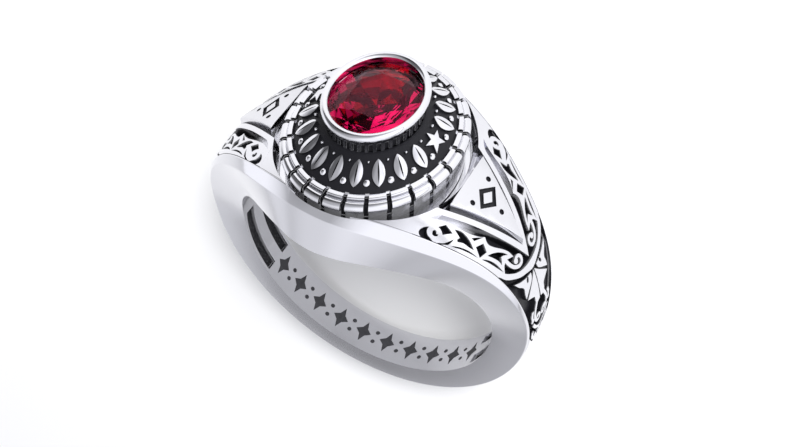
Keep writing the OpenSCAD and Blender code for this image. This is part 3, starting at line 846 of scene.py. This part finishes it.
def rim_line(band):
    """The edge of a plate beside the bevel."""
    angles = np.arange(RELIEF_START, RELIEF_END + 0.01, 0.5)
    return [drawn(a, h) for a, h in zip(angles, Outline(band, angles).bevel_half - GROOVE_IN)]


def tail_line(band):
    """The rounded lower end of the dark ground."""
    angles = np.linspace(TAIL_START, PLATE_END, 24)
    widest = Outline(band, angles).bevel_half
    half = (widest - GROOVE_IN) * np.sqrt(np.clip((PLATE_END - angles) / TAIL_RUN, 0, 1))
    return [drawn(a, max(h, 0)) for a, h in zip(angles, np.minimum(half, widest))]


def moat_line(band, top):
    """The upper edge of a plate, where the moat begins."""
    half_w, half_l = moat_half(band, top)
    line = []
    for y in np.linspace(0, MOAT_REACH, 60):
        x = half_w * math.sqrt(1 - (y / half_l) ** 2)
        line.append((DRAWN_R * math.asin(x / float(Outline(band, RELIEF_START).outer_r(y))), y))
    return line


def line_at(x, line):
    """A line's height at each x: very high before its start, and below 0 after its end."""
    return np.interp(x, [q[0] for q in line], [q[1] for q in line], left=9 * MM, right=-1)


def shoulder_relief(band, relief, top):
    """One half of a shoulder's plate and ornaments, in the ring's frame."""
    tail = tail_line(band)
    frame_edge = curve([drawn(a, y * MM) for a, y in FRAME_EDGE], 6)
    holes = [closed_curve(c) for c in (CHANNEL, WELL, SLIT, *RECESSES)]
    channel, well, slit = holes[:3]
    solids = [closed_curve(c) for c in LEAVES]
    for path in LINES:
        solids += line_outline(path, relief.line_w, 0.8 * relief.line_w)
    start, end = DRAWN_R * math.radians(RELIEF_START), DRAWN_R * math.radians(RELIEF_END)
    borders = [rim_line(band), tail, frame_edge, moat_line(band, top), [(start, 0), (start, 6 * MM)],
               [(end, 0), (end, 3 * MM)], [(start, 0), (end, 0)]]
    grid = [(x, y) for x in np.arange(start, end, 0.2 * MM) for y in np.arange(0.1 * MM, 5.4 * MM, 0.24 * MM)]

    def level_at(x, y):
        is_top = (y < line_at(x, frame_edge)) | (y > line_at(x, tail))
        for hole in holes:
            is_top &= ~within(x, y, hole)
        for solid in solids:
            is_top |= within(x, y, solid)
        is_top &= ~within(x, y, slit)
        beside_plaque = within(x, y, channel) | within(x, y, well)
        level = np.where(is_top, TOP, np.where(beside_plaque, STEEL, GROUND))
        a = at_angle(x)
        here = Outline(band, a)
        outside = (y < 0) | (y > here.bevel_half - GROOVE_IN) | (x < start) | (x > end)
        half_w, half_l = moat_half(band, top)
        outside |= (here.outer_r(y) * np.sin(np.radians(a)) / half_w) ** 2 + (y / half_l) ** 2 < 1
        return np.where(outside, OUTSIDE, level)

    def place_at(level, x, y):
        a = at_angle(x)
        here = Outline(band, a)
        floor = relief_floor(relief, here)
        r = (np.maximum(here.outer_r(y), floor) + LIFT, floor, floor, floor - 0.05 * MM)[level]
        return around(a, y, r)

    def shade_at(level, x):
        return (np.zeros(x.shape), np.ones(x.shape), steel_shade(x), steel_shade(x))[level]

    return terraces(holes + solids, borders, grid, level_at, place_at, shade_at)


def mirrored(points, faces, oxide_and_shade):
    """The mirror image along the finger."""
    return points * (1, -1, 1), [f[::-1] for f in faces], oxide_and_shade


def moat_wall(band, top):
    """The hollow wall round one side of the moat, from the plate's edge down to the seat."""
    half_w, half_l = moat_half(band, top)
    lean = math.acos(0.3)
    q = np.linspace(0, 1, 10)
    rows, shades = [], []
    for t in np.linspace(-lean, lean, 90):
        wide, y = half_w * math.cos(t), half_l * math.sin(t)
        here = Outline(band, math.degrees(math.asin(wide / (BORE_R + band.shoulder_t))))
        edge_z = math.sqrt(float(here.outer_r(abs(y))) ** 2 - wide**2)
        x = wide - 0.8 * band.moat * math.cos(t) * q**1.2
        z = band.seat_z + 0.01 * MM + (edge_z - band.seat_z) * (1 - np.sin(q * math.pi / 2))
        rows.append(np.stack([x, np.full(len(q), y), z], -1))
        shades.append(MOAT_WALL_SHADE * q**2)
    faces = grid_faces(len(rows), len(q), False, False)[:, ::-1]
    return np.concatenate(rows), faces.tolist(), np.concatenate(shades)


class RING_OT_shoulders(bpy.types.Operator):
    """Lay the plates with their scrolls, lozenges and leaves on the two shoulders"""

    bl_idname = "ring.shoulders"
    bl_label = "Shoulder relief"

    def execute(self, context):
        s = context.scene
        half = shoulder_relief(s.ring_band, s.ring_relief, s.ring_top)
        sheet = joined([half, mirrored(*half), moat_wall(s.ring_band, s.ring_top)])
        place_pair(("right_relief", "left_relief"), *sheet, silver_material(s.ring_looks))
        return {"FINISHED"}


# Plaques
PLAQUE_MIDDLE = 0.36  # Place of the lozenge, as a share of a plaque's length
DOTS = ((1.1, 0), (-0.55, 0.95), (-0.55, -0.95))  # Millimetres from the lozenge's middle
PLAQUE_PAINTED_TONES = (0.45, 0.95)  # Painted shade, as shares of the silver: at a plaque's far corner by the top, and elsewhere


class PlaquePlane:
    """The right plaque's surface, bent round the hole's axis: s down the shoulder from its middle."""

    def __init__(self, band, plaque, top):
        self.plaque = plaque
        self.x0 = moat_half(band, top)[0] + SEAT_GAP
        self.r = BORE_R + band.shoulder_t + plaque.rise
        self.middle = math.asin((self.x0 + PLAQUE_MIDDLE * plaque.reach) / self.r)

    def down(self, x):
        """s at x across the shoulders."""
        return self.r * (np.arcsin(x / self.r) - self.middle)

    def across(self, s):
        """x across the shoulders at s."""
        return self.r * np.sin(s / self.r + self.middle)

    def outline(self, inset=0):
        """The plaque's outline, moved inwards."""
        reach, half_w = self.plaque.reach, self.plaque.width / 2
        lean = math.hypot(reach, half_w) / reach
        u = np.linspace(inset / reach, 1 - inset * lean / half_w, 30)
        half = np.maximum(half_w * (1 - u) - inset * lean, 0)
        near = [(float(self.down(self.x0 + v * reach)), float(w)) for v, w in zip(u, half)]
        return near + [(x, -y) for x, y in near[-2::-1]]


def plaque_plate(band, relief, plaque, top):
    """The right plaque with its cut lozenge and dots, in the ring's frame."""
    plane = PlaquePlane(band, plaque, top)
    r_low = BORE_R + band.shoulder_t - relief.ground - 0.02 * MM
    outline, inner = plane.outline(), plane.outline(plaque.chamfer)

    def lozenge(grow):
        x, y = plaque.lozenge_l + grow, plaque.lozenge_w + 1.2 * grow
        return [(x, 0), (0, y), (-x, 0), (0, -y)]

    frame_out, frame_in = lozenge(plaque.line_half), lozenge(-plaque.line_half)
    dots = [circle(x * MM, y * MM, plaque.dot_r, 24) for x, y in DOTS]
    grid = [(x, y) for x in np.arange(-2, 3, 0.25) * MM for y in np.arange(-2, 2.1, 0.5) * MM]

    def level_at(x, y):
        engraved = within(x, y, frame_out) & ~within(x, y, frame_in)
        for dot in dots:
            engraved |= within(x, y, dot)
        return np.where(within(x, y, outline), np.where(engraved, GROUND, TOP), OUTSIDE)

    def place_at(level, s, y):
        x = plane.across(s)
        z = np.sqrt(plane.r**2 - x**2)
        on_rim = line_distance(s, y, outline + outline[:1]) < 0.2 * plaque.chamfer
        z = (z - plaque.chamfer * on_rim, z - plaque.engraving, z, np.sqrt(r_low**2 - x**2))[level]
        return np.stack([x, y, z], -1)

    def shade_at(level, x):
        # The cut lines are oxide; the plaque's side walls get painted shade, darker towards their foot
        return np.full(x.shape, (0, 1, 0, 0.5)[level])

    return terraces([outline, inner, frame_out, frame_in, *dots], [], grid, level_at, place_at, shade_at)


class RING_OT_plaques(bpy.types.Operator):
    """Build the two triangular plaques on the shoulders"""

    bl_idname = "ring.plaques"
    bl_label = "Plaques"

    def execute(self, context):
        s = context.scene
        plate = plaque_plate(s.ring_band, s.ring_relief, s.ring_plaque, s.ring_top)
        # The plaques' silver carries painted shade, darkest at the far corner by the top
        dulled = silver_material(s.ring_looks, "plaque_silver_painted_shade", PLAQUE_PAINTED_TONES)
        place_pair(("right_plaque_plate", "left_plaque_plate"), *plate, dulled,
                   (["right_plaque"], ["left_plaque"]))
        return {"FINISHED"}


# Top
NOTCH_H = 0.7 * MM  # How far a notch reaches down from the wall's top
LEAF_SPAN = math.radians(160)  # Angle over which each half's leaves stand
WHOLE_STEPS, NOTCH_STEPS = 22, 5  # Profiles between two notches, and in one
BEADS = ((-0.5 * MM, 0.17 * MM), (0.62 * MM, 0.09 * MM))  # Place on the slope and radius, row by row
STAR_R, STAR_INNER_R = 0.7 * MM, 0.5 * MM
FRIEZE_DROP = 0.15 * MM  # From the border's top to the frieze's outer edge
GIRDLE_DROP = 0.62 * MM  # From the bezel's rim to the stone's girdle
BEZEL_FOOT_OUT = 0.15 * MM  # How far the bezel's foot stands out past the stone
DOME = 0.4  # Share of its rise that an ornament loses from its middle to its edge


class Heights:
    """Heights over the hole's axis, and half lengths along the finger."""

    def __init__(self, scene):
        top, stone = scene.ring_top, scene.ring_stone
        self.foot = scene.ring_band.seat_z + SEAT_GAP
        self.wall = self.foot + top.wall_h
        self.border = self.wall + top.border_h
        self.frieze = self.border - FRIEZE_DROP
        self.bezel = self.frieze + top.frieze_h
        self.rim = self.bezel + stone.bezel_h
        self.girdle = self.rim - GIRDLE_DROP
        self.half = top.length / 2
        self.border_in = self.half - top.border_w
        self.bezel_foot = stone.length / 2 + BEZEL_FOOT_OUT
        self.shaft = stone.length / 2 - SEAT_GAP


def top_profiles(h, top):
    """The lines of the wall and border, whole and where a notch is cut, and the oxide of both."""
    bevel, soft, corner, tiny = 0.06 * MM, 0.07 * MM, 0.03 * MM, 0.01 * MM
    wall_r, notch_z = h.half - top.wall_in, h.wall - NOTCH_H
    step_r, step_z = h.border_in + 0.4 * top.border_w, h.wall + 0.2 * MM
    wall = [(h.shaft + SEAT_GAP, h.foot), (wall_r - bevel, h.foot), (wall_r, h.foot + bevel),
            (wall_r, notch_z - tiny), (wall_r, notch_z), (wall_r, h.wall - top.lobe)]
    border = arc(h.half - top.lobe, h.wall, top.lobe, -50, 140, 16)
    border += [(step_r + 0.05 * MM, step_z), (step_r, step_z - tiny)]
    border += arc(step_r - soft, h.border - soft, soft, 0, 90, 4)
    border += [(h.border_in + corner, h.border), (h.border_in, h.border - corner), (h.border_in, h.frieze)]
    whole = np.array(wall + border)
    # The wall under the border keeps some of the oxide
    whole_shade = np.zeros(len(whole))
    whole_shade[:len(wall)] = BARE_WALL
    whole_shade[-1] = 1
    cut = whole.copy()
    for i, (r, z) in enumerate(whole[:-1]):
        if z > notch_z - tiny / 2:
            cut[i] = (min(r, h.half - 1.15 * top.lobe), min(z, h.wall + 2 * tiny))
    is_cut = np.hypot(*(cut - whole).T) > 0.1 * tiny
    return (whole, cut), (whole_shade, is_cut.astype(float))


def notch_turns(top, half):
    """The angles of the top's profiles, and 1 for those in a notch."""
    pitch = 2 * math.pi / top.notches
    wide = top.notch_w / half / 2
    turns = []
    for i in range(top.notches):
        start = i * pitch - pitch / 2 + wide
        end = start + pitch - 2 * wide
        turns += [(start + u * (pitch - 2 * wide), 0) for u in np.linspace(0, 1, WHOLE_STEPS)]
        turns += [(end + wide * 0.04 + u * 2 * wide * 0.96, 1) for u in np.linspace(0, 1, NOTCH_STEPS)]
    return [t for t, _ in turns], [pick for _, pick in turns]


class Slope:
    """The sloping frieze: u up the slope from its middle, v round it."""

    def __init__(self, h, top):
        self.h, self.top = h, top
        self.run = h.border_in - h.bezel_foot
        self.long = math.hypot(self.run, top.frieze_h)
        self.middle = 0.5 * (h.border_in + h.bezel_foot)

    def line(self, part, lift=0.0):
        """Radius and height at a part of the way up, lifted off the slope."""
        r = self.h.border_in - part * self.run + lift * self.top.frieze_h / self.long
        bulge = 0.08 * np.sin(np.pi * part)
        z = self.h.frieze + self.top.frieze_h * (part + bulge) + lift * self.run / self.long
        return r, z

    def point(self, u, v, turn, lift):
        """A point in the ring's frame; turn is the angle of v's start round the top."""
        r, z = self.line(0.5 + u / self.long, lift)
        t = turn + v / self.middle
        return np.stack([r * np.cos(t) * self.top.oval, r * np.sin(t), z], -1)


def ornament(slope, turn, outline, inner, half_width, rib=None):
    """One domed shape on the frieze, with a sunken rib if it has one."""
    middle_u = sum(q[0] for q in outline) / len(outline)

    def level_at(x, y):
        level = np.where(within(x, y, outline), TOP, OUTSIDE)
        return np.where(within(x, y, rib), STEEL, level) if rib else level

    def place_at(level, x, y):
        away = np.abs(y) if rib else np.hypot(x - middle_u, y)
        dome = slope.top.leaf_rise * (1 - DOME * np.minimum(away / half_width, 1) ** 2)
        return slope.point(x, y, turn, (dome, dome, dome - 0.1 * MM, np.full(x.shape, -0.03 * MM))[level])

    def shade_at(level, x):
        return np.full(x.shape, (0, 1, 1, 1)[level])

    closed = [outline, *inner, *([rib] if rib else [])]
    return terraces(closed, [], [], level_at, place_at, shade_at)


def frieze_ornaments(h, top):
    """The raised leaves, beads and stars of the frieze, in the ring's frame."""
    slope = Slope(h, top)
    leaf = leaf_outline(top.leaf_l, top.leaf_w)
    leaf_inner = leaf_outline(0.94 * top.leaf_l, 0.6 * top.leaf_w)
    rib = leaf_outline(0.82 * top.leaf_l, 0.1 * MM)
    star, star_inner = star_outline(STAR_R), star_outline(STAR_INNER_R)
    step = LEAF_SPAN / top.leaves
    shapes = []
    for side in (0, math.pi):
        base = side + math.pi / 2
        for i in range(top.leaves):
            turn = base + (i - (top.leaves - 1) / 2) * step
            shapes.append(ornament(slope, turn, leaf, [leaf_inner], 0.5 * top.leaf_w, rib))
        for i in range(top.leaves + 1):
            turn = base + (i - top.leaves / 2) * step
            for u, r in BEADS:
                bead, *inner = (circle(u, 0, part * r, 20) for part in (1, 0.7, 0.35))
                shapes.append(ornament(slope, turn, bead, inner, r))
        shapes.append(ornament(slope, side, star, [star_inner], STAR_R))
    return joined(shapes)


class RING_OT_top(bpy.types.Operator):
    """Build the oval top: wall, notched border and frieze"""

    bl_idname = "ring.top"
    bl_label = "Top"

    def execute(self, context):
        s = context.scene
        top, h = s.ring_top, Heights(s)
        lines, shades = top_profiles(h, top)
        turns, picks = notch_turns(top, h.half)
        slope = np.stack(Slope(h, top).line(np.linspace(0, 1, 12)[1:]), -1)
        inner_r = h.shaft + SEAT_GAP
        inner = [(inner_r, h.bezel), (inner_r, h.foot + 0.4 * MM)]
        lines = [np.concatenate([line, slope, inner]) for line in lines]
        shades = [np.concatenate([shade, np.ones(len(slope) + len(inner))]) for shade in shades]
        casting = revolve("ring_top_casting", lines, shades, picks, top.oval, turns)
        place(casting, "silver", silver_material(s.ring_looks), "ring_top")
        leaves = make_piece("frieze_leaves", *frieze_ornaments(h, top), 60, is_sheet=True)
        place(leaves, "silver", silver_material(s.ring_looks))
        return {"FINISHED"}


# Bezel and stone
FLUTE_STEPS, FLUTE_SHARE = 12, 0.42  # Profiles to each flute, and the cut part of them
TABLE, STAR_EDGE, PAVILION_BREAK = 0.57, 0.79, 0.62  # Radii of the stone's facets, as shares of the girdle's


def bezel_line(h, stone, cut):
    """The bezel's section, its foot cut in by a depth."""
    out_r = stone.length / 2 + stone.rim_out
    in_r = stone.length / 2 + SEAT_GAP
    rim = stone.rim_t / 2
    shaft = h.shaft - SEAT_GAP
    foot_r, foot_z = h.bezel_foot, h.bezel + 0.05 * MM
    ledge_r, sunk_z = shaft - 0.45 * MM, h.foot + 1 * MM
    line = [(shaft, sunk_z), (shaft, foot_z), (foot_r - cut, foot_z), (foot_r - cut, h.bezel + stone.flute_h)]
    line += [(foot_r + 0.02 * MM, h.bezel + 0.64 * MM), (foot_r + 0.06 * MM, h.bezel + 0.76 * MM)]
    line += arc(out_r - rim, h.rim - rim, rim, -35, 150, 14)
    line += [(in_r - 0.1 * MM, h.rim - 0.28 * MM), (in_r - 0.06 * MM, h.girdle + 0.1 * MM)]
    line += [(in_r, h.girdle + 0.08 * MM), (in_r, h.girdle - 0.08 * MM)]
    line += [(0.75 * in_r, h.girdle - 0.5 * MM), (ledge_r, h.girdle - stone.pavilion), (ledge_r, sunk_z)]
    return np.array(line)


class RING_OT_bezel(bpy.types.Operator):
    """Build the deep oval bezel with its rolled rim and fluted foot"""

    bl_idname = "ring.bezel"
    bl_label = "Bezel"

    def execute(self, context):
        s = context.scene
        stone, h = s.ring_stone, Heights(s)
        turns = np.linspace(0, 2 * math.pi, stone.flutes * FLUTE_STEPS, endpoint=False)
        lines = [bezel_line(h, stone, cut) for cut in (0, stone.flute_d)]
        # The shaft is dark all round, and the foot where it is cut
        shades = np.zeros((2, len(lines[0])))
        shades[:, :2] = 1
        shades[1, 2:5] = (1, 1, 0.5)
        picks = [int(i % FLUTE_STEPS / FLUTE_STEPS < FLUTE_SHARE) for i in range(len(turns))]
        cup = revolve("bezel_cup", lines, shades, picks, stone.oval, turns, 30)
        place(cup, "silver", silver_material(s.ring_looks), "bezel")
        return {"FINISHED"}


def facet_corners(h, stone):
    """The corners of the cut stone: table, star, girdle and pavilion rings, and the culet."""
    girdle = stone.length / 2 - 0.02 * MM
    rings = ((8, TABLE * girdle, stone.crown, 0.5), (8, STAR_EDGE * girdle, 0.62 * stone.crown, 0),
             (16, girdle, 0.04 * MM, 0), (16, girdle, -0.03 * MM, 0),
             (8, PAVILION_BREAK * girdle, -0.45 * stone.pavilion, 0.5))
    for sides, radius, z, turn in rings:
        for i in range(sides):
            t = 2 * math.pi * (i + turn) / sides
            yield radius * math.cos(t) * stone.oval, radius * math.sin(t), h.girdle + z
    yield 0, 0, h.girdle - stone.pavilion + 0.1 * MM


class RING_OT_stone(bpy.types.Operator):
    """Cut the oval stone: table, star and main facets, girdle and pavilion"""

    bl_idname = "ring.stone"
    bl_label = "Stone"

    def execute(self, context):
        s = context.scene
        work = bmesh.new()
        for corner in facet_corners(Heights(s), s.ring_stone):
            work.verts.new(corner)
        bmesh.ops.convex_hull(work, input=work.verts)
        bmesh.ops.dissolve_limit(work, angle_limit=math.radians(1), verts=work.verts, edges=work.edges)
        mesh = bpy.data.meshes.new("cut_stone")
        work.to_mesh(mesh)
        work.free()
        place(add_object("cut_stone", mesh), "stone", ruby_material(s.ring_looks), "stone")
        return {"FINISHED"}


# Inside of the hole
ROW_SPAN = 108  # Angle from the first lozenge to the last


def row_shapes(row):
    """The row's shapes: angle from the crown, place along the finger, and outline."""
    corners = ((1, 0), (0.35, 0.35), (0, 1), (-0.35, 0.35), (-1, 0), (-0.35, -0.35), (0, -1), (0.35, -0.35))
    lozenge = [(row.lozenge_l * x, row.lozenge_w * y) for x, y in corners]
    dot = circle(0, 0, row.dot_r, 16)
    pitch = ROW_SPAN / (row.lozenges - 1)
    for i in range(row.lozenges):
        angle = 180 + (i - (row.lozenges - 1) / 2) * pitch
        yield angle, 0, lozenge
        if i < row.lozenges - 1:
            yield angle + pitch / 2, row.dot_y, dot
            yield angle + pitch / 2, -row.dot_y, dot


class RING_OT_inner_row(bpy.types.Operator):
    """Fill a row of small cut lozenges and dots along the bottom of the hole"""

    bl_idname = "ring.inner_row"
    bl_label = "Inner row"

    def execute(self, context):
        s = context.scene
        r = BORE_R - LIFT
        points, faces = [], []
        for angle, y, outline in row_shapes(s.ring_row):
            base, n = len(points), len(outline)
            points += [tuple(around(angle + math.degrees(px / r), y + py, r))
                       for px, py in [(0, 0), *outline]]
            faces += [[base, base + 1 + i, base + 1 + (i + 1) % n] for i in range(n)]
        obj = make_piece("inner_row", np.array(points), faces)
        place(obj, "silver", oxide_material(s.ring_looks))
        return {"FINISHED"}


# Studio
# Soft light and dark patches round the ring: (azimuth, elevation, half width, brightness), the
# azimuth from +x towards +y, in degrees
SOFT_LIGHTS = (
    (168, 38, 44, 0.75),
    (-145, -2, 36, 0.75),
    (13, -3, 29, 0.7),
    (64, 11, 16, 0.28),
    (60, 50, 26, 0.34),
    (73, 12, 8, -0.66),
    (89, -4, 9, -0.2),
    (106, 0, 14, 0.12),
    (-40, 20, 32, -0.4),
    (-85, 8, 28, -0.2),
)
WORLD_GREY = 0.55
WORLD_TINT = (0.975, 0.98, 1.03)
FLOOR_HALF = 0.6
FAR_WAY, NEAR_WAY = (0.34, -0.94, 0), (-0.546, 0.838, 0)  # Across the floor, away from the ring
# Where the paper ends in shade: direction, distance of its start, distance over which it grows, depth
FLOOR_SHADES = ((FAR_WAY, 0.03, 0.09, 0.3), (NEAR_WAY, 0.024, 0.08, 0.45))
KEY_PLACE, KEY_TARGET = Vector((-0.108, -0.226, 0.182)), Vector((0, 0, 0.006))
# The camera in the ring's own frame, in millimetres, and its directions there
CAMERA_PLACE = Vector((20.919, -37.456, 56.668))
CAMERA_BACK, CAMERA_UP = Vector((0.2903, -0.5576, 0.7777)), Vector((-0.3834, 0.6769, 0.6284))


def studio_world():
    """A grey world with soft light and dark patches painted on it."""
    m = Maker(bpy.data.worlds.new("studio"))
    direction = m.node("ShaderNodeTexCoord").outputs["Generated"]
    glows = []
    for azimuth, elevation, half, strength in SOFT_LIGHTS:
        a, e = math.radians(azimuth), math.radians(elevation)
        towards = (math.cos(e) * math.cos(a), math.cos(e) * math.sin(a), math.sin(e))
        edge, full = (math.cos(math.radians(half * part)) for part in (1.35, 0.65))
        glows.append(((m.dot(direction, towards) - edge) / (full - edge)).clamp() * strength)
    light = sum(glows) + WORLD_GREY
    channels = {name: light * tint for name, tint in zip(("Red", "Green", "Blue"), WORLD_TINT)}
    tinted = m.node("ShaderNodeCombineColor", None, channels).outputs[0]
    return m.finish({"Color": tinted, "Strength": 1.0}, "ShaderNodeBackground", "ShaderNodeOutputWorld")


def floor_material(looks):
    """Pale paper with painted shade beyond the far and the near side of the picture, glowing as painted
    light.
    """
    m = Maker(bpy.data.materials.new("floor_paper"))
    paper = m.blend(m.noise(12.0), rgba(looks.floor), rgba(looks.floor, 0.98))
    spot = m.place()
    shade = sum(((m.dot(spot, way) - start) / reach).clamp() * depth
                for way, start, reach, depth in FLOOR_SHADES)
    # Painted light: the paper glows, faintly all over and most towards the far side
    painted_glow_behind = ((m.dot(spot, FAR_WAY) + 0.006) / 0.03).clamp()
    return m.finish({
        "Base Color": m.blend(shade, paper, (0.1, 0.1, 0.1, 1)),
        "Roughness": 0.9, "Specular IOR Level": 0.1,
        "Emission Color": m.blend(painted_glow_behind, (0.55, 0.55, 0.55, 1), (1, 1, 1, 1)),
        "Emission Strength": 0.16})


def add_floor(looks):
    """The pale floor that the ring lies on."""
    corners = [(x * FLOOR_HALF, y * FLOOR_HALF, 0) for x, y in ((-1, -1), (1, -1), (1, 1), (-1, 1))]
    mesh = bpy.data.meshes.new("floor")
    mesh.from_pydata(corners, [], [[0, 1, 2, 3]])
    mesh.materials.append(floor_material(looks))
    add_object("floor", mesh)


def add_key():
    """The light that draws the shadow; the silver mirrors only the painted lights."""
    data = bpy.data.lights.new("key", "AREA")
    data.shape, data.size, data.energy = "DISK", 0.11, 1.4
    key = add_object("key", data)
    key.location = KEY_PLACE
    key.rotation_euler = (KEY_TARGET - KEY_PLACE).to_track_quat("-Z", "Y").to_euler()
    key.visible_glossy = key.visible_transmission = False


def add_camera():
    """The camera, at the photograph's angle to the ring."""
    data = bpy.data.cameras.new("camera")
    data.sensor_width, data.lens = 36.0, 52.19
    data.clip_start, data.clip_end = 0.001, 10
    camera = add_object("camera", data)
    back = CAMERA_BACK.normalized()
    right = CAMERA_UP.cross(back).normalized()
    turn = Matrix((right, back.cross(right), back)).transposed().to_4x4()
    camera.matrix_world = RING @ Matrix.Translation(CAMERA_PLACE * MM) @ turn
    return camera


class RING_OT_studio(bpy.types.Operator):
    """Set the pale floor, the soft lights and the camera"""

    bl_idname = "ring.studio"
    bl_label = "Studio"

    def execute(self, context):
        scene = context.scene
        add_floor(scene.ring_looks)
        add_key()
        scene.world = studio_world()
        scene.camera = add_camera()
        scene.view_settings.view_transform = "Standard"
        return {"FINISHED"}


OPERATORS = (RING_OT_band, RING_OT_shoulders, RING_OT_plaques, RING_OT_top, RING_OT_bezel, RING_OT_stone,
             RING_OT_inner_row, RING_OT_studio)


class RING_PT_panel(bpy.types.Panel):
    """Sizes and pieces of the ring"""

    bl_label = "Class ring"
    bl_idname = "RING_PT_panel"
    bl_space_type = "VIEW_3D"
    bl_region_type = "UI"
    bl_category = "Class ring"

    def draw(self, context):
        for name, group in GROUPS.items():
            box = self.layout.box()
            for key in group.__annotations__:
                box.prop(getattr(context.scene, name), key)
        for operator in OPERATORS:
            self.layout.operator(operator.bl_idname)


def register():
    """Makes the sizes, operators and panel known to Blender."""
    for cls in (*GROUPS.values(), *OPERATORS, RING_PT_panel):
        bpy.utils.register_class(cls)
    for name, group in GROUPS.items():
        setattr(bpy.types.Scene, name, PointerProperty(type=group))


def unregister():
    """Takes them away again."""
    for name in GROUPS:
        delattr(bpy.types.Scene, name)
    for cls in (RING_PT_panel, *OPERATORS[::-1], *list(GROUPS.values())[::-1]):
        bpy.utils.unregister_class(cls)


def main():
    """Builds the ring and the studio."""
    register()
    for operator in OPERATORS:
        family, name = operator.bl_idname.split(".")
        getattr(getattr(bpy.ops, family), name)()


if __name__ == "__main__":
    main()
